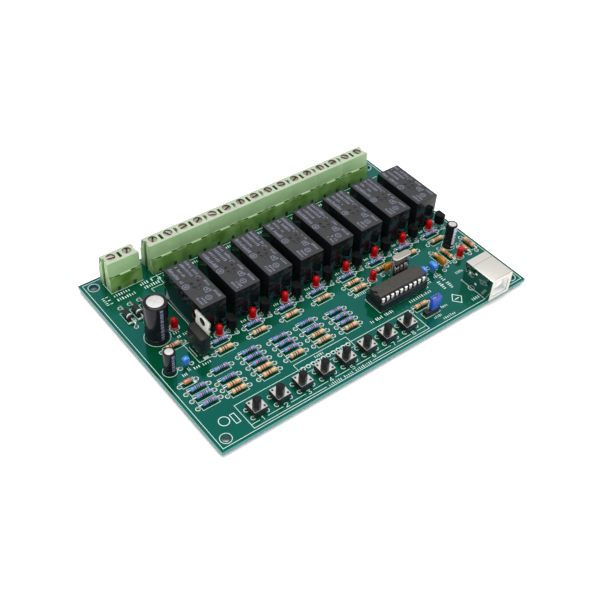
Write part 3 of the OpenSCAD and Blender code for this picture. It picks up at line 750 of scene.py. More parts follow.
HOLES = board_holes()
pads = Piece("pad_rings")
joints = Piece("solder_joints")
silk = Piece("silkscreen")
for x, y, d in HOLES:
    if d > 3:
        ring2d(silk, (x, y), 2.35, 0.22, M["silk"], n=40)
        washer(pads, (x, y), d / 2, d / 2 + 0.25, TOP - 0.02, TOP + 0.012, M["mask"], 40)
        continue
    r1 = max(1.0, d / 2 + 0.45)
    r0 = max(d / 2, r1 - 0.55)
    n = 20 if d < 2 else 32
    washer(silk, (x, y), r1 - 0.20, r1, TOP - 0.005, TOP + 0.03, M["silk"], n)
    washer(pads, (x, y), r0, r1 - 0.20, TOP - 0.01, TOP + 0.036, M["pad"], n)
    washer(pads, (x, y), r0, r1, BOT - 0.035, BOT + 0.01, M["pad"], n)
    if d < 2.4:
        # solder below the board, drawn up the lead
        prof = [(BOT - 1.15, 0.34), (BOT - 0.8, 0.40), (BOT - 0.45, 0.56), (BOT - 0.15, 0.82), (BOT - 0.02, r1 - 0.03)]
        if d > 2:
            prof = [(z, r + 0.35) for z, r in prof]
        revolve(joints, prof, M["solder"], 14, Matrix.Translation((x, y, 0)), caps=(True, False))
pads.make()
joints.make()

# ---------------------------------------------------------------- screw terminals
T_LO, T_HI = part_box("output_terminal_blocks")
TERM_TOP = T_HI.z * 1000
SCREWS = {}
for k in range(1, 17):
    SCREWS[f"output_screw_{k}"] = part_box(f"output_screw_{k}")
for k in (1, 2):
    SCREWS[f"supply_screw_{k}"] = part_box(f"supply_screw_{k}")
TERM_Y = (SCREWS["output_screw_1"][0].y + SCREWS["output_screw_1"][1].y) * 500


def term_pick(c, n, f):
    y, z = c.y - TERM_Y, c.z - TOP
    size = max(max(v.co[i] for v in f.verts) - min(v.co[i] for v in f.verts) for i in range(3))
    # upward faces of the top take the paler copy: painted sheen
    if n.z > 0.5 and z > 14.3:
        return M["term_top"]
    # faces inside the wire wells and the small front recesses take the dark copy: painted shade
    if 8.7 < z < 14.35 and abs(y) < 2.75 and size < 6.5:
        return M["term_in"]
    if y < -4.15 and z < 8.6 and 0.4 < size < 2.7:
        return M["term_in"]
    # the lower front faces take the dark mottled copy: painted shade with painted highlights
    if n.y < -0.6 and y < -4.6 and z < 7.8:
        return M["term_low"]
    # inside faces low in the housing take the dark copy too: painted shade
    if z < 8.9 and abs(y) < 3.3 and abs(n.x) < 0.5:
        return M["term_in"]
    return None


refined("output_terminal_blocks", "output_terminal_housings", M["term"], 0.14, 2, pick=term_pick)
refined("supply_terminal_block", "supply_terminal_housing", M["term"], 0.14, 2, pick=term_pick)
refined("wire_cages", "wire_cages_visual", M["cage"], 0.12, 1)
refined("terminal_pins", "terminal_contacts", M["lead"], 0.06, 1, longest=0.4)
for node, (lo, hi) in SCREWS.items():
    axis = ((lo.x + hi.x) * 500, (lo.y + hi.y) * 500)
    top = hi.z * 1000

    def screw_pick(c, n, f, axis=axis, top=top):
        r = math.hypot(c.x - axis[0], c.y - axis[1])
        # faces inside the slot take the dark copy: painted shade
        if top - 1.05 < c.z < top - 0.12 and r < 1.62:
            return M["slot"]
        return None

    refined(node, node + "_visual", M["screw"], 0.08, 2, longest=0.3, pick=screw_pick)

# ---------------------------------------------------------------- relays
# printed fields on each relay's top, in millimetres from its near left corner; rows run along Y
ROWS = [(2.1, 15.9, 26.1, 1.7), (4.9, 18.4, 25.9, 1.2), (7.6, 17.3, 26.3, 1.4), (9.9, 17.2, 26.6, 1.4),
        (10.3, 9.2, 12.9, 1.2), (10.3, 1.5, 6.0, 1.2), (2.1, 1.2, 5.8, 1.1), (3.8, 1.2, 5.2, 1.1)]
for k in range(1, 9):
    node = f"relay_{k}"
    lo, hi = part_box(node)
    lo, hi = lo * 1000, hi * 1000

    def prints(p, lo=lo, hi=hi):
        z = hi.z
        ink = M["relay_print"]
        for x, y0, y1, h in ROWS:
            bars(p, (lo.x + x, lo.y + y1), (lo.x + x, lo.y + y0), h, ink, z=z, step=0.95, fill=0.66, up=0.012)
        c = (lo.x + 1.9, lo.y + 13.5)
        ring2d(p, c, 1.35, 0.32, ink, n=24, z=z, h=0.01)
        bars(p, (c[0] - 0.7, c[1]), (c[0] + 0.7, c[1]), 1.2, ink, z=z, step=0.5, fill=0.7, up=0.012)
        c = (lo.x + 6.2, lo.y + 3.6)
        ring2d(p, c, 1.25, 0.30, ink, n=24, z=z, h=0.01)
        line2d(p, [(c[0] - 0.7, c[1] - 0.5), (c[0] + 0.7, c[1] - 0.5)], 0.3, ink, z=z, h=0.01)
        line2d(p, [(c[0] - 0.7, c[1] + 0.4), (c[0] + 0.7, c[1] + 0.4)], 0.3, ink, z=z, h=0.01)
        c = (lo.x + 8.2, lo.y + 7.7)
        line2d(p, [(c[0] - 1.3, c[1] - 1.1), (c[0] + 1.2, c[1] - 1.3), (c[0] + 0.4, c[1] + 1.4), (c[0] - 0.9, c[1] + 1.2)],
               0.34, ink, closed=True, z=z, h=0.01)
        dot(p, (c[0], c[1]), 0.45, ink, z)
        c = (lo.x + 9.1, lo.y + 15.6)
        ring2d(p, c, 0.9, 0.3, ink, n=16, a0=-60, a1=150, z=z, h=0.01)
        # sprue marks
        for x, y, r in ((4.9, 13.9, 0.75), (8.1, 14.0, 0.6)):
            dot(p, (lo.x + x, lo.y + y), r, M["relay"], z, 0.008)
        ring2d(p, (lo.x + 5.7, lo.y + 10.3), 1.0, 0.22, M["relay"], n=20, z=z, h=0.008)

    # the top faces take a lighter grey than the glossy black sides: the texture is real, the grey is painted sheen
    refined(node, f"relay_case_{k}", M["relay"], 0.32, 3, longest=5.0, top=M["relay_top"],
            top_z=hi.z - 0.6, extra=prints)

# ---------------------------------------------------------------- buttons
BUTTONS = []
for k in range(1, 9):
    lo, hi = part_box(f"button_cap_{k}")
    BUTTONS.append(((lo.x + hi.x) * 500, (lo.y + hi.y) * 500))


RIVET_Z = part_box("button_covers")[1].z * 1000 - 0.05


def base_pick(c, n, f):
    dx = min(abs(c.x - b[0]) for b in BUTTONS)
    if dx > 3.01 or c.z < TOP + 0.15:
        return M["lead"]
    if n.z > 0.5 and c.z > RIVET_Z:
        return M["rivet"]
    return None


refined("button_bases", "button_cases", M["btn"], 0.15, 2, pick=base_pick)
refined("button_covers", "button_plates", M["plate"], 0.06, 1)
for k in range(1, 9):
    refined(f"button_cap_{k}", f"plunger_{k}", M["plunger"], 0.0, 1)

# ---------------------------------------------------------------- header and jumper
refined("header_base", "header_housing", M["header"], 0.12, 2)
refined("header_pins", "header_posts", M["gold"], 0.12, 1, longest=0.5)
refined("jumper_cap", "jumper_shell", M["jumper"], 0.15, 2)
refined("jumper_clip", "jumper_spring", M["lead"], 0.04, 1)

# ---------------------------------------------------------------- controller
CH_LO, CH_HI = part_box("controller_chip")
CHIP_Y = (CH_LO.y + CH_HI.y) * 500


def chip_pick(c, n, f):
    if abs(c.y - CHIP_Y) > 3.27:
        return M["chip_pin"]
    # the top takes a lighter grey than the sides: painted sheen
    if n.z > 0.7:
        return M["chip"]
    return M["chip_side"]


refined("controller_chip", "controller", M["chip"], 0.1, 2, pick=chip_pick)
refined("chip_socket", "controller_socket", M["socket"], 0.1, 2,
        pick=lambda c, n, f: M["lead"] if c.z < TOP + 0.36 else None)

# ---------------------------------------------------------------- USB socket
U_LO, U_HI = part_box("usb_shell")
U_LO, U_HI = U_LO * 1000, U_HI * 1000


def usb_seams(p):
    y = U_LO.y + 12.1
    line2d(p, [(U_LO.x + 0.25, y), (U_HI.x - 0.25, y)], 0.16, M["seam"], z=U_HI.z, h=0.008)
    line2d(p, [(U_LO.x + 0.2, U_LO.y + 0.55), (U_HI.x - 0.2, U_LO.y + 0.55)], 0.10, M["seam"], z=U_HI.z, h=0.006)
    # pressed dimples on the side, drawn as flat patches of the light tab colour: painted highlights
    x = U_LO.x - 0.006
    for dy, dz in ((9.3, 8.6), (12.6, 7.0), (8.6, 3.4)):
        yc, zc = U_LO.y + dy, TOP + dz
        p.add([(x, yc - 0.55, zc - 0.5), (x, yc - 0.55, zc + 0.5), (x, yc + 0.55, zc + 0.5), (x, yc + 0.55, zc - 0.5)], [[0, 1, 2, 3]],
              M["tab"])


# sides in green-tinted steel (painted reflection of the board), top and front in lighter copies (painted light)
refined("usb_shell", "usb_housing", M["usb"], 0.18, 3, extra=usb_seams,
        pick=lambda c, n, f: M["usb_top"] if n.z > 0.7 and c.z > U_HI.z - 0.6 else (M["usb_front"] if n.y < -0.7 else None))
refined("usb_insert", "usb_moulding", M["usb_white"], 0.1, 2,
        pick=lambda c, n, f: M["lead"] if c.z < TOP + 0.35 else None)

# ---------------------------------------------------------------- resistors
METAL = [["red", "black", "black", "violet", "red"], ["red", "violet", "black", "black", "red"],
         ["brown", "black", "violet", "black", "red"], ["red", "black", "black", "black", "brown"]]
CARBON = [["brown", "black", "red", "gold"], ["brown", "brown", "red", "gold"], ["orange", "black", "orange", "gold"],
          ["brown", "black", "red", "gold"]]


def resistor(p, b, base, pale, bands, at):
    along = b.d.x > b.d.y
    R = min(b.d.x, b.d.y) / 2
    half = max(b.d.x, b.d.y) / 2
    zc = b.hi.z - R
    R *= 0.94
    rw = R * 0.86
    rot = Matrix.Identity(4) if along else Matrix.Rotation(math.pi / 2, 4, "Z")
    xf = Matrix.Translation((b.c.x, b.c.y, zc)) @ rot @ Matrix.Rotation(math.pi / 2, 4, "Y")
    # (position along the body, radius)
    key = [(-3.1, 0.32), (-3.09, R * 0.62), (-3.02, R * 0.80), (-2.9, R * 0.92), (-2.72, R * 0.985), (-2.5, R), (-2.2, R * 0.995),
           (-1.95, R * 0.97), (-1.72, R * 0.91), (-1.5, R * 0.86), (-1.2, rw)]
    prof = key + [(-z, r) for z, r in reversed(key)]

    def radius(z):
        for (z0, r0), (z1, r1) in zip(prof, prof[1:]):
            if z0 <= z <= z1:
                return r0 + (r1 - r0) * (z - z0) / (z1 - z0)
        return rw

    spans = [(c - w / 2, c + w / 2, m) for c, w, m in at(bands)]
    zs = sorted({round(z, 4) for z, _ in prof} | {round(s, 4) for a, e, _ in spans for s in (a, e)})
    rows = [(z, radius(z) + (0.012 if any(a - 1e-6 <= z <= e + 1e-6 for a, e, _ in spans) else 0)) for z in zs]
    # the lighter of the two body tones is painted highlight: the middle of the blue bodies, the ends of the beige and
    # tan ones
    mats = []
    for (z0, _), (z1, _) in zip(rows, rows[1:]):
        m = (z0 + z1) / 2
        mats.append(next((BAND[c] for a, e, c in spans if a <= m <= e), pale if abs(m) > 1.75 else base))
    # local +Z of the revolve points along the body
    revolve(p, rows, mats, 20, xf)
    for s in (-1, 1):
        ax = Vector((1, 0, 0)) if along else Vector((0, 1, 0))
        end = Vector((b.c.x, b.c.y, zc)) + ax * s * (half - 0.3)
        start = Vector((b.c.x, b.c.y, zc)) + ax * s * 3.0
        tube(p, bend(start, end, Vector((end.x, end.y, b.lo.z)), 0.85), 0.28, M["lead"], 10)


def metal_bands(c):
    return [(-1.55, 0.46, c[0]), (-0.62, 0.46, c[1]), (0.13, 0.44, c[2]), (0.88, 0.46, c[3]), (1.85, 0.44, c[4])]


def carbon_bands(c):
    return [(-1.65, 0.52, c[0]), (-0.6, 0.48, c[1]), (0.5, 0.56, c[2]), (2.2, 0.45, c[3])]


blue_r = Piece("resistors_blue")
METAL_BOXES = solids("metal_film_resistors")
for k, b in enumerate(METAL_BOXES):
    resistor(blue_r, b, M["film_blue"], M["film_pale"], METAL[(k * 7 + k // 3) % len(METAL)], metal_bands)
blue_r.make(replaces=("metal_film_resistors",))
beige_r = Piece("resistors_beige")
CARBON_BOXES = solids("carbon_film_resistors")
for k, b in enumerate(CARBON_BOXES):
    tan = b.c.x > 50 and b.d.y > b.d.x
    resistor(beige_r, b, M["film_tan" if tan else "film_beige"], M["cap_tan" if tan else "beige_end_highlight"], CARBON[(k * 5 + k // 4) % len(CARBON)], carbon_bands)
beige_r.make(replaces=("carbon_film_resistors",))

# ---------------------------------------------------------------- LEDs
leds = Piece("led_lenses")
LED_BOXES = solids("indicator_leds")
for b in LED_BOXES:
    x, y, zt = b.c.x, b.c.y, b.hi.z
    xf = Matrix.Translation((x, y, 0))
    R = 1.5
    dome = [(zt - R + R * math.sin(math.radians(a)), R * math.cos(math.radians(a))) for a in (0, 12, 24, 36, 48, 60, 72, 82, 89)]
    zf = TOP + 0.3
    foot = [(zf, 1.45), (zf + 0.04, 1.58), (zf + 0.14, 1.64), (zf + 0.52, 1.64), (zf + 0.64, 1.60), (zf + 0.68, 1.52)]
    lens = [(zf + 0.76, 1.5), (zf + 1.3, 1.5)] + dome
    # the flange rings take the paler foot colour: painted highlight
    revolve(leds, foot + lens, [M["led_foot"]] * len(foot) + [M["led"]] * (len(lens) - 1), 28, xf)
    for s in (-1.27, 1.27):
        flat_box(leds, (x + s - 0.25, y - 0.25, b.lo.z), (x + s + 0.25, y + 0.25, zf + 0.1), M["lead"])
leds.make(replaces=("indicator_leds",))

# ---------------------------------------------------------------- transistors and regulator
TR_BOXES = solids("transistors")
refined("transistors", "small_transistors", M["to92"], 0.25, 2, longest=1.2,
        pick=lambda c, n, f: M["lead"] if c.z < TOP + 2.28 else None)
R_LO, R_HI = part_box("voltage_regulator")
R_LO, R_HI = R_LO * 1000, R_HI * 1000


def reg_pick(c, n, f):
    if c.z < TOP + 1.86:
        return M["lead"]
    if c.x > R_HI.x - 0.64:
        side = abs(n.x) < 0.6
        if c.z < TOP + 10.9 and n.x < 0.6:
            return M["reg_front"] if side else M["tab"]
        # faces around the tab's hole take the near-black: painted shade in the hole
        if side and math.hypot(c.y - (R_LO.y + R_HI.y) / 2, c.z - TOP - 14.7) < 2.2:
            return M["hole"]
        return M["tab_edge"] if side else M["tab"]
    if n.z > 0.6:
        return M["reg"]
    return M["reg_front"]


refined("voltage_regulator", "regulator", M["reg"], 0.08, 2, pick=reg_pick)

# ---------------------------------------------------------------- electrolytic capacitors
cans = Piece("electrolytics")
CAN_BOXES = sorted(solids("electrolytic_capacitors"), key=lambda b: b.c.x)
for b in CAN_BOXES:
    r = min(b.d.x, b.d.y) / 2
    big = r > 3.5
    top = b.hi.z
    c = (b.c.x, b.c.y)
    xf = Matrix.Translation((c[0], c[1], 0))
    k = r / 4.9
    rim = 3.45 * k if big else r * 0.70
    z0 = TOP + 0.2
    prof = [(z0, r - 0.75 * k), (z0 + 0.04, r - 0.35 * k), (z0 + 0.2, r - 0.1), (z0 + 0.45, r), (z0 + 1.35, r), (z0 + 1.55, r - 0.06),
            (z0 + 1.75, r - 0.24), (z0 + 1.85, r - 0.3), (z0 + 1.95, r - 0.24), (z0 + 2.15, r - 0.06), (z0 + 2.35, r),
            (top - 0.75, r), (top - 0.45, r - 0.06), (top - 0.22, r - 0.2 * k - 0.04), (top - 0.07, r - 0.5 * k),
            (top - 0.01, r - 0.85 * k), (top - 0.03, rim + 0.12), (top - 0.12, rim)]
    revolve(cans, prof, M["sleeve"], 56, xf, caps=(True, False))
    revolve(cans, [(top - 0.30, rim + 0.15), (top - 0.24, rim + 0.02), (top - 0.20, rim - 0.12), (top - 0.19, 0.01)], M["alu"], 48, xf,
            caps=(False, True))
    # pressure score across the top
    a0 = math.radians(35)
    for a in ((a0, a0 + math.pi / 2) if big else (a0,)):
        u = Vector((math.cos(a), math.sin(a))) * rim * 0.78
        line2d(cans, [(c[0] - u.x, c[1] - u.y), (c[0] + u.x, c[1] + u.y)], 0.10, M["score"], z=top - 0.19, h=0.004)
    # the stripe that marks the negative lead
    if c[0] > 0:
        cyl_patch(cans, c, r + 0.006, -112, -56, z0 + 2.4, top - 0.8, M["stripe_pale"], 10)
        cyl_patch(cans, c, r + 0.004, -112, -56, z0 + 0.45, z0 + 1.35, M["stripe_pale"], 10)
        z = top - 2.0
        while z > z0 + 3.0:
            cyl_patch(cans, c, r + 0.012, -84, -64, z - 0.8, z, M["sleeve"], 4)
            z -= 1.7
    else:
        mid, w = (-92, 8) if big else (-84, 15)
        z = top - (1.2 if big else 1.0)
        i = 0
        while z > z0 + (2.9 if big else 2.6):
            h = (0.9, 0.35, 0.7, 0.9, 0.5)[i % 5]
            cyl_patch(cans, c, r + 0.008, mid - w, mid + w, z - h, z, M["stripe"], 4)
            z -= h + 0.42
            i += 1
        a = mid + 78
        cyl_patch(cans, c, r + 0.008, a, a + 22, z0 + 3.2, top - 2.5, M["stripe"], 5)
    for s in (-1, 1):
        y = b.c.y + s * (2.5 if big else 1.0)
        tube(cans, [(c[0], y, b.lo.z), (c[0], y, z0 + 0.1)], 0.27, M["lead"], 10)
cans.make(replaces=("electrolytic_capacitors",))


# ---------------------------------------------------------------- dipped capacitors
def pillow(p, c, w, h, t, mat, along_y, narrow=0.0):
    """A dipped body of width w, height h and thickness t, with rounded rims; narrow draws its foot in."""
    rings = []
    for k in range(9):
        a = math.radians(-82 + 164 * k / 8)
        s = math.cos(a) ** 0.55
        zz = math.sin(a) / math.sin(math.radians(82)) * t / 2
        inset = (1 - s) * min(w, h) * 0.30
        ring = []
        n = 32
        for i in range(n):
            q = 2 * math.pi * i / n
            e = 0.72
            x = abs(math.cos(q)) ** e * (1 if math.cos(q) >= 0 else -1) * (w / 2 - inset)
            y = abs(math.sin(q)) ** e * (1 if math.sin(q) >= 0 else -1) * (h / 2 - inset)
            if narrow and y < 0:
                x *= 1 - narrow * (-y / (h / 2)) ** 0.8
            ring.append((x, y, zz))
        rings.append(ring)
    xf = Matrix.Translation(c) @ Matrix.Rotation(math.pi / 2 if along_y else 0, 4, "Z") @ Matrix.Rotation(math.pi / 2, 4, "X")
    loft(p, rings, mat, xf=xf)


def dipped(node, name, mat, narrow):
    p = Piece(name)
    co, faces = welded(node)
    for g in islands(len(co), faces):
        pts = co[sorted(g)]
        b = Box(pts)
        if max(b.d) < 1:
            continue
        along_y = b.d.y > b.d.x
        # the body is the part of the solid above its splayed wires
        upper = pts[pts[:, 2] > TOP + 2.6]
        u = Box(upper)
        w = u.d.y if along_y else u.d.x
        t = u.d.x if along_y else u.d.y
        zb = TOP + 1.45 if not narrow else TOP + 1.75
        h = b.hi.z - zb
        cc = Vector((u.c.x, u.c.y, b.hi.z - h / 2))
        tear = narrow and w < 5
        pillow(p, cc, w, h, t, mat, along_y, 0.55 if tear else 0.12)
        ax = Vector((0, 1, 0)) if along_y else Vector((1, 0, 0))
        for s in (-1, 1):
            foot = Vector((b.c.x, b.c.y, TOP + 0.15)) + ax * s * 2.54
            up = Vector((b.c.x, b.c.y, cc.z - h / 2 + 0.7)) + ax * s * (0.7 if tear else 1.2)
            tube(p, [Vector((foot.x, foot.y, b.lo.z)), foot, foot + Vector((0, 0, 0.3)), up, up + Vector((0, 0, 0.5))], 0.25, M["lead"], 10)
            mid = foot + (up - foot) * (0.35 if tear else 0.55)
            tube(p, [mid, mid + (up - mid) * 0.5, up, up + Vector((0, 0, 0.5))], [0.28, 0.40, 0.62, 0.7], mat, 10)
    p.make(replaces=(node,))


dipped("blue_capacitors", "capacitors_blue", M["blue_cap"], 0.0)
dipped("orange_capacitors", "capacitors_orange", M["orange_cap"], 1.0)

# ---------------------------------------------------------------- diodes
rect = Piece("rectifiers")
RECT_BOXES = solids("rectifier_diodes")
for b in RECT_BOXES:
    R = min(b.d.x, b.d.y) / 2
    zc = b.hi.z - R
    half = b.d.y / 2
    xf = Matrix.Translation((b.c.x, b.c.y, zc)) @ Matrix.Rotation(math.pi / 2, 4, "Z") @ Matrix.Rotation(math.pi / 2, 4, "Y")
    prof = [(-2.6, 0.4), (-2.59, R - 0.3), (-2.52, R - 0.12), (-2.4, R - 0.02), (-2.2, R), (-1.75, R), (-1.74, R + 0.01), (-1.05, R + 0.01),
            (-1.04, R), (2.2, R), (2.4, R - 0.02), (2.52, R - 0.12), (2.59, R - 0.3), (2.6, 0.4)]
    mats = [M["diode_band"] if k == 6 else M["diode"] for k in range(len(prof) - 1)]
    revolve(rect, prof, mats, 28, xf)
    for s in (-1, 1):
        end = Vector((b.c.x, b.c.y + s * (half - 0.4), zc))
        tube(rect, bend((b.c.x, b.c.y + s * 2.5, zc), end, (end.x, end.y, b.lo.z), 0.9), 0.38, M["lead"], 10)
rect.make(replaces=("rectifier_diodes",))

sig = Piece("signal_diodes")
GLASS = "glass_diodes"
GLASS_BOXES = solids(GLASS)
for b in GLASS_BOXES:
    along = b.d.x > b.d.y
    R = min(b.d.x, b.d.y) / 2
    half = max(b.d.x, b.d.y) / 2
    zc = b.hi.z - R
    turn = Matrix.Identity(4) if along else Matrix.Rotation(math.pi / 2, 4, "Z")
    ax = Vector((1, 0, 0)) if along else Vector((0, 1, 0))
    xf = Matrix.Translation((b.c.x, b.c.y, zc)) @ turn @ Matrix.Rotation(math.pi / 2, 4, "Y")
    revolve(sig, [(-2, 0.3), (-1.97, R - 0.3), (-1.85, R - 0.08), (-1.6, R), (1.6, R), (1.85, R - 0.08), (1.97, R - 0.3), (2, 0.3)], M["glass"], 28, xf)
    revolve(sig, [(-1.75, 0.6), (-1.7, 0.68), (0.9, 0.68), (0.95, 0.6)], M["glass_core"], 20, xf)
    revolve(sig, [(1.0, 0.68), (1.05, 0.74), (1.5, 0.74), (1.55, 0.68)], M["diode"], 20, xf)
    for s in (-1, 1):
        start = Vector((b.c.x, b.c.y, zc)) + ax * s * 1.9
        end = Vector((b.c.x, b.c.y, zc)) + ax * s * (half - 0.25)
        tube(sig, bend(start, end, (end.x, end.y, b.lo.z), 0.8), 0.25, M["lead"], 10)
sig.make(replaces=(GLASS,))


# ---------------------------------------------------------------- crystal
def stadium(l, w, z, n=12):
    r = w / 2
    out = []
    for cx, a0 in ((l / 2 - r, -90), (-l / 2 + r, 90)):
        for k in range(n + 1):
            a = math.radians(a0 + 180 * k / n)
            out.append((cx + r * math.cos(a), r * math.sin(a), z))
    return out


xt = Piece("crystal")
b = solids("quartz_crystal")[0]
xf = Matrix.Translation((b.c.x, b.c.y, 0))
L, W = b.d.x, b.d.y
zf = TOP + 0.4
loft(xt, [stadium(L - 0.2, W - 0.2, zf), stadium(L, W, zf + 0.12), stadium(L, W, zf + 0.42), stadium(L - 0.25, W - 0.12, zf + 0.55),
          stadium(L - 0.9, W - 0.3, zf + 0.6)], M["crystal"], xf=xf)
l, w, zt = L - 0.9, W - 0.3, b.hi.z
rr = 0.38
side = [stadium(l, w, zf + 0.55), stadium(l, w, zt - rr)]
over = [stadium(l - 2 * rr * (1 - math.cos(math.radians(a))), w - 2 * rr * (1 - math.cos(math.radians(a))), zt - rr + rr * math.sin(math.radians(a)))
        for a in (18, 36, 54, 72, 90)]
rings = side + over
loft(xt, rings, [M["crystal"]] * 3 + [M["crystal_top"]] * (len(rings) - 3), xf=xf, caps=(True, True))
yf = b.c.y - w / 2 - 0.004
for row, zz in ((0, zt - 4.6), (1, zt - 6.6)):
    for k in range(6 - row):
        x0 = b.c.x - 2.9 + k * 1.05 + row * 0.3
        h = (1.1, 0.9, 1.1, 0.7, 1.1, 0.9)[k]
        xt.add([(x0, yf, zz), (x0 + 0.42, yf, zz), (x0 + 0.42, yf, zz + h), (x0, yf, zz + h)], [[0, 1, 2, 3]], M["seam"])
for s in (-1, 1):
    tube(xt, [(b.c.x + s * 2.44, b.c.y, b.lo.z), (b.c.x + s * 2.44, b.c.y, zf + 0.1)], 0.22, M["lead"], 10)
xt.make(replaces=("quartz_crystal",))

# ---------------------------------------------------------------- silkscreen
INK = M["silk"]


def s_line(pts, w=0.24, closed=False):
    line2d(silk, [bp(*q)[:2] for q in pts], w * 0.74, INK, closed=closed)


def s_bars(a, b, h, step=None, fill=0.6):
    bars(silk, bp(*a), bp(*b), h * 0.92, INK, step=step, fill=fill * 0.66)


def s_rect(x0, y0, x1, y1, w=0.24):
    s_line([(x0, y0), (x1, y0), (x1, y1), (x0, y1)], w, True)


def here(v):
    """A place in the part's frame as board coordinates."""
    return v.x - B_LO.x * 1000, v.y - B_LO.y * 1000


W_B, L_B = (B_HI.x - B_LO.x) * 1000, (B_HI.y - B_LO.y) * 1000
s_rect(1.3, 1.3, W_B - 1.3, L_B - 1.3, 0.28)

# outlines of the small parts
for b in METAL_BOXES + CARBON_BOXES:
    x, y = here(b.c)
    hx, hy = (3.85, 1.8) if b.d.x > b.d.y else (1.8, 3.85)
    s_rect(x - hx, y - hy, x + hx, y + hy, 0.22)
for b in RECT_BOXES:
    x, y = here(b.c)
    s_rect(x - 1.75, y - 3.6, x + 1.75, y + 3.6, 0.22)
    patch(silk, [bp(x - 1.5, y - 3.35)[:2], bp(x + 1.5, y - 3.35)[:2], bp(x + 1.5, y - 2.75)[:2], bp(x - 1.5, y - 2.75)[:2]], INK, TOP, 0.03)
for b in GLASS_BOXES:
    x, y = here(b.c)
    if b.d.x > b.d.y:
        s_rect(x - 3.1, y - 1.6, x + 3.1, y + 1.6, 0.22)
        patch(silk, [bp(x + 2.1, y - 1.4)[:2], bp(x + 2.9, y - 1.4)[:2], bp(x + 2.9, y + 1.4)[:2], bp(x + 2.1, y + 1.4)[:2]], INK, TOP, 0.03)
    else:
        s_rect(x - 1.6, y - 3.1, x + 1.6, y + 3.1, 0.22)
        patch(silk, [bp(x - 1.4, y + 2.1)[:2], bp(x + 1.4, y + 2.1)[:2], bp(x + 1.4, y + 3.6)[:2], bp(x - 1.4, y + 3.6)[:2]], INK, TOP, 0.03)
for b in LED_BOXES:
    ring2d(silk, b.c[:2], 2.1, 0.18, INK, n=32, a0=-50, a1=230)
    x, y = here(b.c)
    s_line([(x - 1.35, y - 1.65), (x + 1.35, y - 1.65)], 0.24)
for b in LED_BOXES[:]:
    x, y = here(b.c)
    if 48 < y < 50:
        s_bars((x - 5.6, y + 0.6), (x - 2.9, y + 0.6), 1.3, 0.85)
        s_line([(x + 2.2, y - 0.6), (x + 3.6, y - 0.6)], 0.24)
for b in TR_BOXES:
    x, y = here(Vector((b.hi.x - 2.1, b.c.y, 0)))
    s_line([(x + 3.0 * math.cos(math.radians(a)), y + 3.0 * math.sin(math.radians(a))) for a in range(50, 311, 13)], 0.26)
    s_line([(x + 1.93, y - 2.3), (x + 1.93, y + 2.3)], 0.26)
for b in CAN_BOXES:
    r = min(b.d.x, b.d.y) / 2
    ring2d(silk, b.c[:2], r + 0.45, 0.19, INK, n=48)
for node in ("blue_capacitors", "orange_capacitors"):
    for b in solids(node):
        x, y = here(b.c)
        for s in (-0.35, 0.35):
            if b.d.x > b.d.y:
                s_line([(x + s, y - 3.0), (x + s, y - 1.2)], 0.3)
            else:
                s_line([(x + 1.2, y + s), (x + 3.0, y + s)], 0.3)

# relays: the left edge of the first one, the corner marks of the contact side
r1 = here(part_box("relay_1")[0] * 1000)
r8 = here(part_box("relay_8")[1] * 1000)
s_line([(r1[0] - 0.25, r1[1] - 0.3), (r1[0] - 0.25, r1[1] + 25)], 0.28)
s_line([(r8[0] + 0.45, r1[1] - 0.3), (r8[0] + 0.45, r1[1] + 30)], 0.28)
silk_wedge = [(r1[0] - 1.5, r1[1] + 31.6), (r1[0] - 0.9, r1[1] + 29.2), (r1[0] - 0.35, r1[1] + 25.0), (r1[0] + 0.3, r1[1] + 26.9)]
patch(silk, [bp(*q)[:2] for q in silk_wedge], INK, TOP, 0.03)
s_line([(r1[0] + 8.5, 93.4), (r1[0] + 4.5, 93.4), (r1[0] + 4.5, 86.4)], 0.26)
s_line([(r1[0] + 4.0, 86.4), (r1[0] - 1.6, 86.5), (r1[0] - 1.4, 84.1)], 0.26)
for k in range(1, 9):
    x, _ = here(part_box(f"relay_{k}")[0] * 1000)
    s_line([(x + 2.0, 80.2), (x + 10.0, 80.2)], 0.26)
    s_line([(x + 1.5, 92.2), (x + 13.4, 92.2)], 0.26)
    s_bars((x + 3.4, 90.3), (x + 10.6, 90.3), 1.5, 1.1)

# regulator
x, y = here(Vector((R_LO.x, R_LO.y, 0)))
s_line([(x + 0.8, y + 10.6), (x - 1.5, y + 10.6), (x - 1.5, y - 0.8), (x + 4.6, y - 0.8), (x + 4.6, y + 0.4)], 0.28)
s_line([(x - 0.4, y + 8.5), (x - 0.4, y + 2.5)], 0.28)
patch(silk, [bp(*q)[:2] for q in ((x + 0.9, y - 0.6), (x + 3.2, y - 0.6), (x + 3.2, y + 0.7), (x + 0.9, y + 0.7))], INK, TOP, 0.035)
s_bars((x - 1.4, y - 2.3), (x + 2.8, y - 2.3), 1.4, 1.0)

# supply terminal, rows of print beside it, names of parts
s_line([(9.1, 100.4), (9.1, 93.0), (24.2, 93.0)], 0.26)
s_bars((8.7, 91.3), (16.6, 91.3), 1.7, 1.1)
s_bars((8.9, 88.4), (17.8, 88.4), 1.7, 1.1)
s_bars((21.2, 91.2), (27.6, 91.2), 1.8, 1.05, 0.72)
s_bars((21.8, 88.6), (29.4, 88.6), 1.8, 1.05, 0.72)
s_bars((4.6, 93.0), (4.6, 87.6), 1.3, 1.0)
s_bars((6.3, 93.0), (6.3, 87.6), 1.3, 1.0)
s_bars((17.6, 56.9), (23.0, 56.9), 1.5, 0.95)
s_bars((17.2, 59.4), (20.4, 59.4), 1.3, 0.95)
s_bars((8.2, 38.6), (10.6, 38.6), 1.5, 0.9)
s_bars((13.8, 39.3), (16.8, 39.3), 1.5, 0.9)

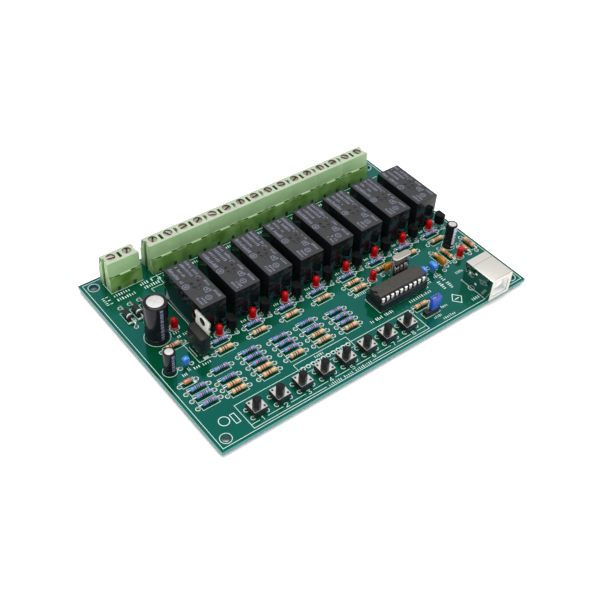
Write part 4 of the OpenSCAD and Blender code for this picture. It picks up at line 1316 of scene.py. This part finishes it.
# near left corner: a ring and a frame in place of a mark
ring2d(silk, bp(8.7, 11.4)[:2], 2.1, 0.28, INK, n=40)
s_rect(11.9, 7.9, 13.8, 12.6, 0.36)

# buttons: frame, numbered line, second line
bx = [here(Vector((q[0], q[1], 0))) for q in BUTTONS]
y0, y1 = 2.35, 15.25
x0, x1 = bx[0][0] - 5.6, bx[-1][0] + 7.1
s_line([(50.0, y0), (x0, y0), (x0, y1), (x1, y1), (x1, y0), (73.6, y0)], 0.28)
s_bars((51.0, y0), (73.0, y0), 1.35, 0.95, 0.5)
DIGITS = [
    [[(0.2, 0.75), (0.55, 1), (0.55, 0)]],
    [[(0, 0.8), (0.2, 1), (0.8, 1), (1, 0.8), (1, 0.62), (0, 0), (1, 0)]],
    [[(0, 1), (1, 1), (0.45, 0.58), (0.85, 0.52), (1, 0.3), (0.8, 0.04), (0.4, 0), (0, 0.1)]],
    [[(0.75, 0), (0.75, 1), (0, 0.3), (1.05, 0.3)]],
    [[(1, 1), (0.1, 1), (0.02, 0.56), (0.7, 0.6), (1, 0.34), (0.8, 0.04), (0.4, 0), (0, 0.1)]],
    [[(0.8, 1), (0.3, 0.8), (0, 0.35), (0.25, 0.02), (0.78, 0.02), (1, 0.28), (0.75, 0.54), (0.1, 0.45)]],
    [[(0, 1), (1, 1), (0.4, 0)]],
    [[(0.5, 0.53), (0.12, 0.66), (0.12, 0.9), (0.5, 1), (0.88, 0.9), (0.88, 0.66), (0.5, 0.53), (0.03, 0.36), (0.06, 0.1), (0.5, 0),
      (0.94, 0.1), (0.97, 0.36), (0.5, 0.53)]],
]
dx = [q[0] for q in bx]
for k, x in enumerate(dx):
    for stroke in DIGITS[k]:
        s_line([(x - 0.75 + 1.4 * u, 3.35 + 1.9 * v) for u, v in stroke], 0.27)
    a = x + 1.9
    z = dx[k + 1] - 1.7 if k < 7 else x1
    s_line([(a, 4.25), (z, 4.25)], 0.26)
s_line([(x0, 4.25), (dx[0] - 1.6, 4.25)], 0.26)

# spare pads, chip, header, USB
s_rect(46.3, 12.4, 73.0, 18.35, 0.26)
s_bars((55.6, 17.0), (60.4, 17.0), 1.3, 0.9)
cx0, cx1 = here(CH_LO * 1000)[0], here(CH_HI * 1000)[0]
cy = CHIP_Y - B_LO.y * 1000
s_line([(cx0 - 0.2, cy + 4.9), (cx0 - 0.2, cy - 4.7), (cx1 + 1.2, cy - 4.7), (cx1 + 1.2, cy + 4.9)], 0.26, True)
h_lo, h_hi = (v * 1000 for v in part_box("header_base"))
hx0, hy0 = here(h_lo)
hx1, hy1 = here(h_hi)
s_rect(hx0 - 0.3, hy0 - 0.35, hx1 + 0.3, hy1 + 0.35, 0.24)
s_bars((hx1 + 1.6, hy0 + 1.0), (hx1 + 5.4, hy0 + 1.0), 1.5, 0.95)
s_bars((hx0 + 2.5, hy0 - 2.0), (hx0 + 7.0, hy0 - 2.0), 1.4, 0.95)
s_bars((hx0 + 5.5, hy0 - 4.4), (hx0 + 12.5, hy0 - 4.4), 1.4, 0.95)
s_bars((107.8, 18.3), (120.6, 18.3), 1.6, 1.15)
s_bars((86.4, 18.6), (99.0, 18.6), 1.6, 0.95, 0.62)
s_bars((90.5, 33.9), (97.2, 33.9), 1.5, 1.0)
s_bars((126.9, 20.8), (126.9, 15.4), 1.9, 1.1, 0.7)
s_bars((130.0, 22.6), (130.0, 14.2), 1.9, 1.1, 0.7)
s_bars((130.9, 4.0), (135.4, 4.0), 1.5, 1.1, 0.6)
s_bars((121.6, 22.6), (124.6, 22.6), 1.4, 0.9)
s_bars((127.2, 23.4), (131.4, 23.4), 1.3, 0.9)
s_bars((136.8, 20.0), (141.4, 20.0), 1.5, 1.0)
s_bars((150.2, 28.0), (150.2, 32.6), 1.4, 0.9)
s_bars((140.0, 25.6), (140.0, 30.2), 1.4, 0.9)
s_line([(126.4, 11.4), (129.0, 8.4), (126.4, 5.4), (123.8, 8.4)], 0.42, True)
s_line([(125.2, 8.4), (127.6, 8.4)], 0.5)
ux0, uy0 = here(U_LO)
ux1, uy1 = here(U_HI)
s_line([(ux0 - 0.14, 1.6), (ux0 - 0.14, uy1 + 0.3), (ux1 + 0.3, uy1 + 0.3), (ux1 + 0.3, 1.6)], 0.22)
silk.make()

for name, o in NODES.items():
    if not o.hide_render and name != "circuit_board":
        print("still plain:", name)

lo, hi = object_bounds()
